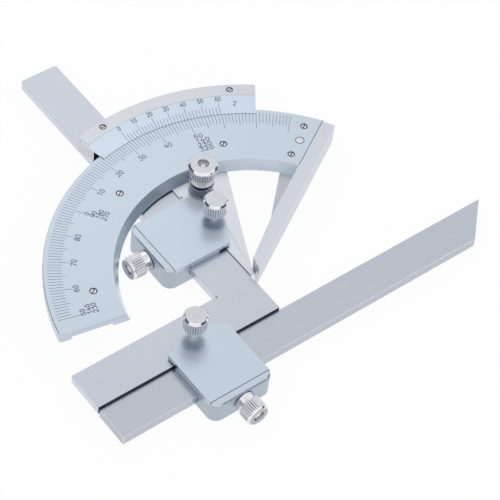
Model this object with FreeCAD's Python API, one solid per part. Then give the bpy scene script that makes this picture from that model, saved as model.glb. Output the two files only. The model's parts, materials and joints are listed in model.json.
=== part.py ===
"""Universal bevel protractor of the arc type, in millimetres.

The origin is the centre of the divided arc, on the surface that the tool lies on, +Z up and +X
along the base blade's working edge.  What turns with the vernier is drawn with the tool at
reading zero, in the carrier's frame, with the straight blade along X and the long leg of the
square along Y, and is then turned back by the reading.
"""
import FreeCAD, Part
import math
import os

# Reading that the tool is set to, in degrees
READING = 30 + 40 / 60

# Levels, stacked up from the surface that the tool lies on
CLAMP_FLOOR = 1.4
SLIDE_GAP = 0.1
BLADE_THICKNESS = 3.4
SQUARE_ABOVE_BLADE = 1.2
SQUARE_THICKNESS = 3.2
CARRIER_ABOVE_SQUARE = 0.6
CARRIER_THICKNESS = 1.6
SWING_GAP = 0.1
SCALE_THICKNESS = 3.8

# Divided arc: angles are measured from the base blade's working edge, and its width is stacked
# up from the inner wall over the channel for the toothed sector
SCALE_INNER_RADIUS = 45.8
SCALE_INNER_SLOPE = 1.7
CHANNEL_INNER_WALL = 4.1
CHANNEL_OUTER_WALL = 3.9
CHANNEL_DEPTH = 1.25
CHANNEL_STOP_ANGLE = 15.5
SCALE_END_ANGLE = 138.1
SCALE_CORNER_RADIUS = 1.2

# Base blade under the end of the arc
BASE_EDGE = 0.8
BASE_RIB_WIDTH = 4.4
BASE_END_INSET = 0.45
BASE_HEIGHT = 7.8
BASE_TIP_WIDTH = 3.3
BASE_TIP_RUN = 22.0
BASE_WEDGE_START = 20.3
BASE_WEDGE_ANGLE = 13.3
BASE_SLOT_LENGTH = 13.0
BASE_SLOT_WALL = 1.4

# Toothed sector in the arc, and its pinion on the carrier; tooth heights are in modules
MODULE = 0.5
RACK_WIDTH = 5.6
RACK_THICKNESS = 1.1
RACK_START_ANGLE = 22.5
RACK_END_ANGLE = 129.5
PINION_TEETH = 12
PINION_THICKNESS = 0.9
PINION_ANGLE = 78.0
PRESSURE_ANGLE = 20.0
BACKLASH = 0.1
RACK_ADDENDUM = 0.8
RACK_DEDENDUM = 1.25
PINION_DEDENDUM = 1.1
FLANK_STEPS = 3
CHANNEL_ROOM = 1.1
SHAFT_RADIUS = 1.25
BUSH_WALL = 0.9
BUSH_FLANGE = 0.7
BUSH_FLANGE_THICKNESS = 0.12
FINE_KNOB_RADIUS = 8.0
FINE_KNOB_FLUTES = 36
FINE_KNOB_FOOT = 0.3
FINE_KNOB_GAP = 0.15
FINE_KNOB_BORE_FLOOR = 0.8

# Carrier, seen with the tool at reading zero
CARRIER_NOSE = 2.6
CARRIER_NOSE_WIDTH = 0.6
CARRIER_SLANT_RUN = 1.1
CARRIER_SLANT_RISE = 1.5
NOTCH_FROM_CLAMP = 1.5
NOTCH_WIDTH = 1.0
NOTCH_DEPTH = 0.8
CARRIER_SIDE_ANGLE = 66.7
EDGE_GAP = 0.05
SHOE_WIDTH = 1.6
SHOE_ANGLES = (70.0, 88.0)
SHOE_SPAN = 4.0

# Rim outside the arc, and the vernier scale on it, which has the same ends
RIM_FROM_SCALE = 2.4
RIM_LEDGE = 2.1
RIM_WALL = 1.05
RIM_SEAT_DROP = 0.45
RIM_START_ANGLE = 54.3
RIM_END_ANGLE = 103.1
RIM_CORNER_RADIUS = 1.0
RIM_SCREW_ANGLES = (70.5, 87.0)
RIM_SCREW_REACH = 2.0
VERNIER_OVERLAP = 1.9
VERNIER_ABOVE_SCALE = 0.12
VERNIER_EDGE_THICKNESS = 0.23
VERNIER_RISE = 2.1
VERNIER_TONGUE = 3.8
VERNIER_TONGUE_THICKNESS = 0.8
VERNIER_SCREW_ANGLES = (60.9, 96.4)

# Brake that locks the carrier to the arc
BRAKE_FROM_SCALE = 5.0
BRAKE_ANGLE = 80.5
BRAKE_STUD_RADIUS = 1.2
BRAKE_STUD_HEAD_RADIUS = 2.2
BRAKE_STUD_HEAD_HEIGHT = 0.6
BRAKE_WASHER_HEIGHT = 2.15
BRAKE_NUT_RADIUS = 4.73
BRAKE_NUT_FOOT_RADIUS = 3.4
BRAKE_NUT_HEIGHT = 8.8
BRAKE_NUT_RECESS_RADIUS = 1.8
BRAKE_NUT_RECESS_DEPTH = 1.4
BRAKE_NUT_FLUTES = 30

# Square: outer edges of its two legs, seen with the tool at reading zero
SQUARE_LEG_WIDTH = 13.9
SQUARE_EDGE_X = -2.0
SQUARE_EDGE_Y = -12.3
SQUARE_LONG_LEG = 122.6
SQUARE_SHORT_LEG = 67.7
CORNER_RELIEF_RADIUS = 0.45

# Straight blade
BLADE_WIDTH = 12.3
BLADE_LENGTH = 149.7
BLADE_END_X = -69.3

# Groove that the draw hooks pull on
GROOVE_WIDTH = 3.0
GROOVE_DEPTH = 1.0
GROOVE_MIDDLE = 7.0
GROOVE_STOP = 10.0

# Clamps: a is measured across the clamped pieces from the wrapped piece's free edge,
# w along them from the clamp's middle
CLAMP_1_FROM_BRAKE = 13.74
CLAMP_2_FROM_EDGE = 29.1
CLAMP_WIDTH = 22.4
CLAMP_BACK = 8.3
CLAMP_LIP = 2.5
CLAMP_CORNER_RADIUS = 3.4
CLAMP_REACH = 7.4
CLAMP_NOSE_RUN = 6.0
CLAMP_CHAMFER = 0.5
COVER_THICKNESS = 1.3
COVER_ROOM = 0.5
COVER_SCREW_PLACE = -3.2
COVER_SCREW_SPACING = 16.0
COVER_SKIN = 0.4

THUMBSCREW_FROM_NOSE = 3.9
THUMBSCREW_RADIUS = 3.8
THUMBSCREW_HEIGHT = 8.8
THUMBSCREW_HEAD = 6.3
THUMBSCREW_STEM_RADIUS = 1.45
THUMBSCREW_FLUTES = 22
PAD_RADIUS = 2.2
PAD_THICKNESS = 0.4

DRAW_NUT_RADIUS = 3.9
DRAW_NUT_LENGTH = 7.3
DRAW_NUT_COLLAR = 1.8
DRAW_NUT_COLLAR_RADIUS = 3.6
DRAW_NUT_FLUTES = 26
DRAW_NUT_RECESS_RADIUS = 2.2
DRAW_NUT_RECESS_DEPTH = 1.0
DRAW_BOLT_RADIUS = 1.5
DRAW_BOLT_INSET = 0.6
HOOK_THICKNESS = 0.9
HOOK_WIDTH = 3.0
HOOK_ROOM = 0.3
HOOK_POST = 2.0

# Fits, knurls and fasteners
RUNNING_FIT = 0.05
PRESS_FIT = 0.01
FLUTE_DEPTH = 0.35
KNOB_CHAMFER = 0.5
EDGE_CHAMFER = 0.2
RACK_SCREW = {"head": 1.1, "head_height": 0.8, "shank": 0.7}
BASE_SCREW = {"head": 1.05, "head_height": 0.9, "shank": 0.7}
VERNIER_SCREW = {"head": 1.0, "head_height": 0.6, "shank": 0.6}
HEADLESS_RADIUS = 0.6
COVER_SCREW_RADIUS = 0.9
SCREW_SINK = 0.1
HEAD_ROOM = 0.18
SLOT_WIDTH = 0.35
SLOT_DEPTH = 0.35
RACK_SCREW_INSET = 2.9
RACK_SCREW_ANGLES = (35.5, 80.3, 125.2)
BASE_SCREW_INSETS = ((4.85, 4.7), (18.15, 4.0))
DOWEL_INSET = (11.25, 3.7)
DOWEL_RADIUS = 1.45
BLIND_END = 0.8

# Levels that follow
blade_bottom = CLAMP_FLOOR + SLIDE_GAP
blade_top = blade_bottom + BLADE_THICKNESS
square_top = blade_top + SQUARE_ABOVE_BLADE
square_bottom = square_top - SQUARE_THICKNESS
carrier_top = square_top + CARRIER_ABOVE_SQUARE
carrier_bottom = carrier_top - CARRIER_THICKNESS
scale_bottom = carrier_top + SWING_GAP
scale_top = scale_bottom + SCALE_THICKNESS
channel_top = scale_bottom + CHANNEL_DEPTH
base_bottom = scale_top - BASE_HEIGHT
rim_bottom = carrier_top - RIM_SEAT_DROP
rim_top = scale_top + VERNIER_RISE
vernier_bottom = scale_top + VERNIER_ABOVE_SCALE
washer_top = carrier_top + BRAKE_WASHER_HEIGHT

# Radii and places that follow
rack_reach = SCALE_INNER_RADIUS + CHANNEL_INNER_WALL + RACK_WIDTH + MODULE
rack_teeth = round(2 * rack_reach / MODULE)
rack_pitch_radius = MODULE * rack_teeth / 2
pinion_pitch_radius = MODULE * PINION_TEETH / 2
pinion_radius = pinion_pitch_radius + MODULE
pinion_place = rack_pitch_radius + pinion_pitch_radius
channel_inner = rack_pitch_radius - RACK_WIDTH - MODULE
channel_outer = pinion_place + pinion_radius + CHANNEL_ROOM
scale_outer = channel_outer + CHANNEL_OUTER_WALL
rack_screw_radius = channel_inner + RACK_SCREW_INSET
rim_inner = scale_outer + RIM_FROM_SCALE
vernier_inner = scale_outer - VERNIER_OVERLAP
vernier_outer = rim_inner + RIM_LEDGE
groove_end = vernier_outer + VERNIER_TONGUE + RUNNING_FIT
rim_outer = groove_end + RIM_WALL
rim_screw_radius = (rim_inner + rim_outer) / 2
vernier_screw_radius = (vernier_outer + rim_outer) / 2
brake_radius = SCALE_INNER_RADIUS - BRAKE_FROM_SCALE
seam_y = BASE_EDGE + BASE_RIB_WIDTH
base_length = math.sqrt(scale_outer ** 2 - seam_y ** 2) - BASE_END_INSET
base_screw_places = [(base_length - x, seam_y + y) for x, y in BASE_SCREW_INSETS]
dowel_place = (base_length - DOWEL_INSET[0], seam_y + DOWEL_INSET[1])
square_free_x = SQUARE_EDGE_X - SQUARE_LEG_WIDTH
blade_free_y = SQUARE_EDGE_Y - BLADE_WIDTH
clamp_1_place = brake_radius * math.sin(math.radians(BRAKE_ANGLE)) - CLAMP_1_FROM_BRAKE
clamp_2_place = SQUARE_EDGE_X - CLAMP_2_FROM_EDGE
clamp_nose = SQUARE_LEG_WIDTH + CLAMP_REACH
clamp_shoulder = clamp_nose - CLAMP_NOSE_RUN
thumbscrew_place = clamp_nose - THUMBSCREW_FROM_NOSE
hook_tooth = GROOVE_WIDTH - 2 * HOOK_ROOM


def vec(x, y, z=0.0):
    return FreeCAD.Vector(x, y, z)


def polar(radius, degrees):
    angle = math.radians(degrees)
    return radius * math.cos(angle), radius * math.sin(angle)


def box(x0, x1, y0, y1, z0, z1):
    return Part.makeBox(x1 - x0, y1 - y0, z1 - z0, vec(x0, y0, z0))


def rod(radius, z0, z1, place=(0.0, 0.0)):
    return Part.makeCylinder(radius, z1 - z0, vec(place[0], place[1], z0))


def outline(corners, z):
    """A closed wire through corners (x, y, radius), each rounded by its own radius."""
    starts = []
    ends = []
    arcs = []
    count = len(corners)
    for i in range(count):
        x, y, radius = corners[i]
        here = vec(x, y, z)
        back = vec(*corners[i - 1][:2], z) - here
        ahead = vec(*corners[(i + 1) % count][:2], z) - here
        back.normalize()
        ahead.normalize()
        half = back.getAngle(ahead) / 2
        run = radius / math.tan(half)
        starts.append(here + back * run)
        ends.append(here + ahead * run)
        middle = back + ahead
        if radius > 0:
            middle.normalize()
            arcs.append(here + middle * (radius / math.sin(half) - radius))
        else:
            arcs.append(None)
    edges = []
    for i in range(count):
        if arcs[i] is not None:
            edges.append(Part.Arc(starts[i], arcs[i], ends[i]).toShape())
        edges.append(Part.LineSegment(ends[i], starts[(i + 1) % count]).toShape())
    return Part.Wire(edges)


def plate(corners, z0, z1):
    """A flat plate of the given outline between two levels."""
    return Part.Face(outline(corners, z0)).extrude(vec(0, 0, z1 - z0))


def turned(profile, start=0.0, end=360.0, place=(0.0, 0.0)):
    """A profile of (radius, level) points turned about a vertical axis."""
    points = [vec(radius, 0, level) for radius, level in profile]
    face = Part.Face(Part.makePolygon(points + points[:1]))
    solid = face.revolve(vec(0, 0, 0), vec(0, 0, 1), end - start)
    solid.rotate(vec(0, 0, 0), vec(0, 0, 1), start)
    solid.translate(vec(place[0], place[1], 0))
    return solid


def arc_block(inner, outer, start, end, z0, z1):
    return turned([(inner, z0), (outer, z0), (outer, z1), (inner, z1)], start, end)


def chamfer_top(solid, level, size):
    """Break the edges that lie at one level."""
    edges = []
    for edge in solid.Edges:
        if all(abs(v.Z - level) < 1e-4 for v in edge.Vertexes):
            if abs(edge.CenterOfMass.z - level) < 1e-4:
                edges.append(edge)
    return solid.makeChamfer(size, edges)


def knob(radius_foot, radius_head, z0, z1, count):
    """A fluted grip between two levels, chamfered at both ends; all its faces are flat."""
    sections = [
        (radius_foot - KNOB_CHAMFER, z0),
        (radius_foot, z0 + KNOB_CHAMFER),
        (radius_head, z1 - KNOB_CHAMFER),
        (radius_head - KNOB_CHAMFER, z1),
    ]
    root_share = 1 - FLUTE_DEPTH / radius_head
    wires = []
    for radius, level in sections:
        points = []
        for i in range(count):
            for share, step in ((1, 0), (root_share, 0.5)):
                x, y = polar(radius * share, (i + step) * 360 / count)
                points.append(vec(x, y, level))
        wires.append(Part.makePolygon(points + points[:1]))
    return Part.makeLoft(wires, True, True)


def slot(radius, top, place):
    """The driver slot across a screw's end."""
    x, y = place
    return box(x - radius, x + radius, y - SLOT_WIDTH / 2, y + SLOT_WIDTH / 2,
               top - SLOT_DEPTH, top)


def screw(kind, face_level, end_level, place):
    """A slotted cheese-head screw, head up, sunk a little below the face that it holds down."""
    top = face_level - SCREW_SINK
    seat = top - kind["head_height"]
    solid = rod(kind["head"], seat, top, place)
    solid = solid.fuse(rod(kind["shank"], end_level, seat, place)).removeSplitter()
    return solid.cut(slot(kind["head"], top, place))


def screw_hole(kind, face_level, end_level, place):
    """The counterbored hole that a screw of that kind sits in."""
    seat = face_level - SCREW_SINK - kind["head_height"]
    hole = rod(kind["head"] + HEAD_ROOM, seat, face_level, place)
    return hole.fuse(rod(kind["shank"] + RUNNING_FIT, end_level, seat, place))


def headless_screw(radius, bottom, end_level, place):
    """A headless screw put in from below, with its slot in the bottom end."""
    return rod(radius, bottom, end_level, place).cut(slot(radius, bottom + SLOT_DEPTH, place))


def round_arc_corner(solid, radius, angle, size):
    """Round the upright edge where the outer wall of an arc meets its end."""
    corner_x, corner_y = polar(radius, angle)
    corner = [e for e in solid.Edges
              if math.hypot(e.CenterOfMass.x - corner_x, e.CenterOfMass.y - corner_y) < 0.05
              and abs(e.Vertexes[0].Z - e.Vertexes[-1].Z) > 1]
    return solid.makeFillet(size, corner)


def in_carrier(solid):
    """Turn a piece from the carrier's frame to the tool's reading."""
    solid = solid.copy()
    solid.rotate(vec(0, 0, 0), vec(0, 0, 1), -READING)
    return solid


def base_screw_hole(place):
    return screw_hole(BASE_SCREW, scale_top, base_bottom + BLIND_END, place)


def make_main_scale():
    """Arc plate with a sloped inner wall and a channel for the toothed sector underneath."""
    inner_foot = SCALE_INNER_RADIUS - SCALE_INNER_SLOPE
    arc = turned([
        (inner_foot, scale_bottom),
        (scale_outer, scale_bottom),
        (scale_outer, scale_top - EDGE_CHAMFER),
        (scale_outer - EDGE_CHAMFER, scale_top),
        (SCALE_INNER_RADIUS, scale_top),
    ], 0, SCALE_END_ANGLE)
    arc = arc.cut(box(0, 2 * scale_outer, -1, seam_y, scale_bottom, scale_top))
    arc = arc.cut(arc_block(channel_inner, channel_outer, CHANNEL_STOP_ANGLE,
                            SCALE_END_ANGLE + 1, scale_bottom, channel_top))
    arc = round_arc_corner(arc, scale_outer, SCALE_END_ANGLE, SCALE_CORNER_RADIUS)
    for angle in RACK_SCREW_ANGLES:
        place = polar(rack_screw_radius, angle)
        arc = arc.cut(screw_hole(RACK_SCREW, scale_top, channel_top, place))
    for place in base_screw_places:
        arc = arc.cut(base_screw_hole(place))
    return arc.cut(rod(DOWEL_RADIUS + RUNNING_FIT, scale_bottom, scale_top, dowel_place))


def make_base_blade():
    """Working rib flush with the arc, and a wedge that runs on under it as its seat."""
    tip = BASE_TIP_WIDTH
    rib = plate([
        (0, BASE_EDGE, 0),
        (base_length, BASE_EDGE, 0),
        (base_length, seam_y, 0),
        (BASE_TIP_RUN, seam_y, 0),
        (tip, BASE_EDGE + tip, 0),
    ], base_bottom, scale_top)
    rise = (base_length - BASE_WEDGE_START) * math.tan(math.radians(BASE_WEDGE_ANGLE))
    wedge = plate([
        (BASE_WEDGE_START, seam_y - 1, 0),
        (base_length, seam_y - 1, 0),
        (base_length, seam_y + rise, 0),
        (BASE_WEDGE_START, seam_y, 0),
    ], base_bottom, scale_bottom)
    base = rib.fuse(wedge).removeSplitter()
    base = base.cut(box(-1, BASE_SLOT_LENGTH, BASE_EDGE + BASE_SLOT_WALL, seam_y + 1,
                        carrier_bottom - SWING_GAP, scale_bottom))
    for place in base_screw_places:
        base = base.cut(base_screw_hole(place))
    dowel_end = base_bottom + BLIND_END
    return base.cut(rod(DOWEL_RADIUS + RUNNING_FIT, dowel_end, scale_top, dowel_place))


def make_base_screws():
    end = base_bottom + BLIND_END
    return [screw(BASE_SCREW, scale_top, end, place) for place in base_screw_places]


def make_base_dowel():
    return rod(DOWEL_RADIUS, base_bottom + BLIND_END, scale_top, dowel_place)


def make_sector_rack():
    """Toothed sector with straight-sided teeth, one gap of it facing the pinion."""
    bottom = channel_top - RACK_THICKNESS
    root = rack_pitch_radius - RACK_DEDENDUM * MODULE
    tip = rack_pitch_radius + RACK_ADDENDUM * MODULE
    pitch = 360 / rack_teeth
    slope = math.degrees(math.tan(math.radians(PRESSURE_ANGLE)) / rack_pitch_radius)
    half = pitch / 4 - math.degrees(BACKLASH / 4 / rack_pitch_radius)
    at_root = half + slope * (rack_pitch_radius - root)
    at_tip = half - slope * (tip - rack_pitch_radius)
    gap_angle = PINION_ANGLE - READING
    first = math.ceil((RACK_START_ANGLE - gap_angle) / pitch)
    last = math.floor((RACK_END_ANGLE - gap_angle) / pitch)
    points = []
    for i in range(first, last):
        middle = gap_angle + (i + 0.5) * pitch
        points.append(polar(root, middle - at_root))
        points.append(polar(tip, middle - at_tip))
        points.append(polar(tip, middle + at_tip))
        points.append(polar(root, middle + at_root))
    start = gap_angle + first * pitch
    end = gap_angle + last * pitch
    inner = channel_inner + RUNNING_FIT
    edges = []
    for i in range(len(points) - 1):
        edges.append(Part.LineSegment(vec(*points[i], bottom), vec(*points[i + 1], bottom)).toShape())
    corner_a = vec(*polar(inner, start), bottom)
    corner_b = vec(*polar(inner, (start + end) / 2), bottom)
    corner_c = vec(*polar(inner, end), bottom)
    edges.append(Part.LineSegment(vec(*points[-1], bottom), corner_c).toShape())
    edges.append(Part.Arc(corner_c, corner_b, corner_a).toShape())
    edges.append(Part.LineSegment(corner_a, vec(*points[0], bottom)).toShape())
    rack = Part.Face(Part.Wire(edges)).extrude(vec(0, 0, RACK_THICKNESS))
    for angle in RACK_SCREW_ANGLES:
        place = polar(rack_screw_radius, angle)
        rack = rack.cut(rod(RACK_SCREW["shank"] + RUNNING_FIT, bottom, channel_top, place))
    return rack


def make_rack_screws():
    end = channel_top - RACK_THICKNESS
    return [screw(RACK_SCREW, scale_top, end, polar(rack_screw_radius, angle))
            for angle in RACK_SCREW_ANGLES]


def make_carrier_plate():
    """Plate under the arc: a straight edge for the square and a seat for the rim."""
    edge_x = SQUARE_EDGE_X + EDGE_GAP
    side = polar(SCALE_INNER_RADIUS - SCALE_INNER_SLOPE, CARRIER_SIDE_ANGLE)
    outer = rim_outer
    end = polar(outer, CARRIER_SIDE_ANGLE)
    top_y = math.sqrt(outer ** 2 - edge_x ** 2)
    middle = polar(outer, 0.5 * (CARRIER_SIDE_ANGLE + 90))
    nose_x = edge_x + CARRIER_NOSE_WIDTH
    slant_x = nose_x + CARRIER_SLANT_RUN
    slant_y = CARRIER_NOSE + CARRIER_SLANT_RISE
    z = carrier_bottom
    line_points = [
        vec(edge_x, top_y, z),
        vec(edge_x, CARRIER_NOSE, z),
        vec(nose_x, CARRIER_NOSE, z),
        vec(slant_x, slant_y, z),
        vec(*side, z),
        vec(*end, z),
    ]
    edges = [Part.LineSegment(a, b).toShape() for a, b in zip(line_points, line_points[1:])]
    edges.append(Part.Arc(line_points[-1], vec(*middle, z), line_points[0]).toShape())
    solid = Part.Face(Part.Wire(edges)).extrude(vec(0, 0, CARRIER_THICKNESS))
    solid = solid.cut(arc_block(rim_inner - RUNNING_FIT, outer + 1, RIM_START_ANGLE,
                                RIM_END_ANGLE, rim_bottom, carrier_top))
    notch = clamp_1_place + CLAMP_WIDTH / 2 + NOTCH_FROM_CLAMP
    solid = solid.cut(box(edge_x, edge_x + NOTCH_WIDTH, notch, notch + NOTCH_WIDTH,
                          carrier_top - NOTCH_DEPTH, carrier_top))
    solid = solid.cut(rod(SHAFT_RADIUS + RUNNING_FIT + BUSH_WALL + RUNNING_FIT, carrier_bottom,
                          carrier_top, polar(pinion_place, PINION_ANGLE)))
    brake = polar(brake_radius, BRAKE_ANGLE)
    solid = solid.cut(rod(BRAKE_STUD_RADIUS + RUNNING_FIT, carrier_bottom, carrier_top, brake))
    solid = solid.cut(rod(BRAKE_STUD_HEAD_RADIUS + RUNNING_FIT, carrier_bottom,
                          carrier_bottom + BRAKE_STUD_HEAD_HEIGHT, brake))
    for place in shoe_screw_places() + rim_screw_places():
        solid = solid.cut(rod(HEADLESS_RADIUS + RUNNING_FIT, carrier_bottom, carrier_top, place))
    return solid


def shoe_screw_places():
    middle = channel_outer - RUNNING_FIT - SHOE_WIDTH / 2
    return [polar(middle, angle) for angle in SHOE_ANGLES]


def rim_screw_places():
    return [polar(rim_screw_radius, angle) for angle in RIM_SCREW_ANGLES]


def make_shoe_screws():
    end = channel_top - SWING_GAP - RUNNING_FIT
    return [headless_screw(HEADLESS_RADIUS, carrier_bottom, end, place)
            for place in shoe_screw_places()]


def make_rim_screws():
    end = rim_bottom + RIM_SCREW_REACH - RUNNING_FIT
    return [headless_screw(HEADLESS_RADIUS, carrier_bottom, end, place)
            for place in rim_screw_places()]


def make_guide_shoes():
    """Two short arcs on the carrier that run in the channel's outer wall."""
    outer = channel_outer - RUNNING_FIT
    shoes = []
    for angle in SHOE_ANGLES:
        shoes.append(arc_block(outer - SHOE_WIDTH, outer, angle - SHOE_SPAN / 2,
                               angle + SHOE_SPAN / 2, carrier_top, channel_top - SWING_GAP))
    return [shoe.cut(rod(HEADLESS_RADIUS + RUNNING_FIT, carrier_top, channel_top, place))
            for shoe, place in zip(shoes, shoe_screw_places())]


def vernier_screw_hole(angle):
    end = vernier_bottom - BLIND_END
    return screw_hole(VERNIER_SCREW, rim_top, end, polar(vernier_screw_radius, angle))


def make_rim_block():
    """Rim outside the arc, with a step and a groove for the vernier scale."""
    groove_top = vernier_bottom + VERNIER_TONGUE_THICKNESS + RUNNING_FIT
    rim = turned([
        (rim_inner, rim_bottom),
        (rim_outer, rim_bottom),
        (rim_outer, rim_top - EDGE_CHAMFER),
        (rim_outer - EDGE_CHAMFER, rim_top),
        (vernier_outer, rim_top),
        (vernier_outer, groove_top),
        (groove_end, groove_top),
        (groove_end, vernier_bottom),
        (rim_inner, vernier_bottom),
    ], RIM_START_ANGLE, RIM_END_ANGLE)
    blank = arc_block(rim_inner, rim_outer, RIM_START_ANGLE, RIM_END_ANGLE,
                      rim_bottom, rim_top)
    rim = rim.common(round_arc_corner(blank, rim_outer, RIM_START_ANGLE, RIM_CORNER_RADIUS))
    for angle in VERNIER_SCREW_ANGLES:
        rim = rim.cut(vernier_screw_hole(angle))
    for place in rim_screw_places():
        rim = rim.cut(rod(HEADLESS_RADIUS + RUNNING_FIT, rim_bottom,
                          rim_bottom + RIM_SCREW_REACH, place))
    return rim


def make_vernier_scale():
    """Sloped plate whose thin edge meets the arc; its tongue sits in the rim's groove."""
    outer = vernier_outer - RUNNING_FIT
    tongue_top = vernier_bottom + VERNIER_TONGUE_THICKNESS
    scale = turned([
        (vernier_inner, vernier_bottom),
        (outer + VERNIER_TONGUE, vernier_bottom),
        (outer + VERNIER_TONGUE, tongue_top),
        (outer, tongue_top),
        (outer, rim_top),
        (vernier_inner, vernier_bottom + VERNIER_EDGE_THICKNESS),
    ], RIM_START_ANGLE, RIM_END_ANGLE)
    for angle in VERNIER_SCREW_ANGLES:
        scale = scale.cut(vernier_screw_hole(angle))
    return scale


def make_vernier_screws():
    end = vernier_bottom - BLIND_END
    return [screw(VERNIER_SCREW, rim_top, end, polar(vernier_screw_radius, angle))
            for angle in VERNIER_SCREW_ANGLES]


def make_brake_stud():
    """Stud with a head let into the carrier from below and a domed top end."""
    place = polar(brake_radius, BRAKE_ANGLE)
    nut_top = washer_top + RUNNING_FIT + BRAKE_NUT_HEIGHT
    end = nut_top - BRAKE_NUT_RECESS_DEPTH / 2
    stud = rod(BRAKE_STUD_HEAD_RADIUS, carrier_bottom, carrier_bottom + BRAKE_STUD_HEAD_HEIGHT, place)
    stud = stud.fuse(rod(BRAKE_STUD_RADIUS, carrier_bottom, end, place)).removeSplitter()
    rim = [e for e in stud.Edges if abs(e.CenterOfMass.z - end) < 1e-4]
    return stud.makeChamfer(0.4 * BRAKE_STUD_RADIUS, rim)


def make_brake_washer():
    """Coned washer whose side is parallel to the sloped inner wall of the arc."""
    slope = SCALE_INNER_SLOPE / SCALE_THICKNESS
    wall_foot = SCALE_INNER_RADIUS - SCALE_INNER_SLOPE
    foot = wall_foot - brake_radius - 2 * RUNNING_FIT
    head = foot + slope * (washer_top - scale_bottom)
    bore = BRAKE_STUD_RADIUS + RUNNING_FIT
    return turned([
        (bore, carrier_top),
        (foot, carrier_top),
        (foot, scale_bottom),
        (head, washer_top),
        (bore, washer_top),
    ], place=polar(brake_radius, BRAKE_ANGLE))


def make_brake_nut():
    """Tall tapered nut, wider at the top, fluted all round and recessed for the stud."""
    z0 = washer_top + RUNNING_FIT
    z1 = z0 + BRAKE_NUT_HEIGHT
    nut = knob(BRAKE_NUT_FOOT_RADIUS, BRAKE_NUT_RADIUS, z0, z1, BRAKE_NUT_FLUTES)
    nut = nut.cut(rod(BRAKE_STUD_RADIUS + RUNNING_FIT, z0, z1))
    nut = nut.cut(rod(BRAKE_NUT_RECESS_RADIUS, z1 - BRAKE_NUT_RECESS_DEPTH, z1))
    nut.translate(vec(*polar(brake_radius, BRAKE_ANGLE)))
    return nut


def make_pinion_bush():
    """Flanged bush in the carrier for the fine-adjust shaft."""
    bore = SHAFT_RADIUS + RUNNING_FIT
    wall = bore + BUSH_WALL
    flange_top = carrier_top + BUSH_FLANGE_THICKNESS
    return turned([
        (bore, carrier_bottom),
        (wall, carrier_bottom),
        (wall, carrier_top),
        (wall + BUSH_FLANGE, carrier_top),
        (wall + BUSH_FLANGE, flange_top),
        (bore, flange_top),
    ], place=polar(pinion_place, PINION_ANGLE))


def involute(base_radius, radius):
    """Angle in radians that an involute has turned through when it reaches a radius."""
    ratio = max(radius / base_radius, 1.0)
    return math.sqrt(ratio ** 2 - 1) - math.acos(1 / ratio)


def make_fine_adjust_pinion():
    """Pinion cut in one with its shaft; one tooth points at the arc's centre at rest."""
    base_radius = pinion_pitch_radius * math.cos(math.radians(PRESSURE_ANGLE))
    root = pinion_pitch_radius - PINION_DEDENDUM * MODULE
    half = (math.pi * MODULE / 4 - BACKLASH / 4) / pinion_pitch_radius
    half_at_base = half + involute(base_radius, pinion_pitch_radius)
    flank = []
    for i in range(FLANK_STEPS):
        radius = base_radius + (pinion_radius - base_radius) * i / (FLANK_STEPS - 1)
        flank.append((radius, half_at_base - involute(base_radius, radius)))
    side = [(root, half_at_base)] + flank
    points = []
    for tooth in range(PINION_TEETH):
        middle = math.radians(PINION_ANGLE + 180) + 2 * math.pi * tooth / PINION_TEETH
        for radius, angle in side:
            points.append(polar(radius, math.degrees(middle - angle)))
        for radius, angle in reversed(side):
            points.append(polar(radius, math.degrees(middle + angle)))
    bottom = channel_top - SWING_GAP - PINION_THICKNESS
    wire = Part.makePolygon([vec(x, y, bottom) for x, y in points + points[:1]])
    pinion = Part.Face(wire).extrude(vec(0, 0, PINION_THICKNESS))
    pinion = pinion.fuse(rod(SHAFT_RADIUS, FINE_KNOB_FOOT + FINE_KNOB_BORE_FLOOR, bottom))
    pinion.translate(vec(*polar(pinion_place, PINION_ANGLE)))
    return pinion.removeSplitter()


def make_fine_adjust_knob():
    """Flat fluted knob behind the carrier, pressed on the pinion's shaft."""
    top = carrier_bottom - FINE_KNOB_GAP
    grip = knob(FINE_KNOB_RADIUS, FINE_KNOB_RADIUS, FINE_KNOB_FOOT, top, FINE_KNOB_FLUTES)
    bore_end = FINE_KNOB_FOOT + FINE_KNOB_BORE_FLOOR
    grip = grip.cut(rod(SHAFT_RADIUS + PRESS_FIT, bore_end, top))
    grip.translate(vec(*polar(pinion_place, PINION_ANGLE)))
    return grip


def make_square():
    """Two legs at right angles, with a groove in the long leg's underside."""
    free_y = SQUARE_EDGE_Y + SQUARE_LEG_WIDTH
    solid = plate([
        (SQUARE_EDGE_X, SQUARE_EDGE_Y, 0),
        (SQUARE_EDGE_X, SQUARE_EDGE_Y + SQUARE_LONG_LEG, 0),
        (square_free_x, SQUARE_EDGE_Y + SQUARE_LONG_LEG, 0),
        (square_free_x, free_y, 0),
        (SQUARE_EDGE_X - SQUARE_SHORT_LEG, free_y, 0),
        (SQUARE_EDGE_X - SQUARE_SHORT_LEG, SQUARE_EDGE_Y, 0),
    ], square_bottom, square_top)
    middle = square_free_x + GROOVE_MIDDLE
    groove = box(middle - GROOVE_WIDTH / 2, middle + GROOVE_WIDTH / 2, GROOVE_STOP,
                 SQUARE_EDGE_Y + SQUARE_LONG_LEG, square_bottom, square_bottom + GROOVE_DEPTH)
    relief = rod(CORNER_RELIEF_RADIUS, square_bottom, square_top, (square_free_x, free_y))
    return solid.cut(groove).cut(relief)


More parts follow.
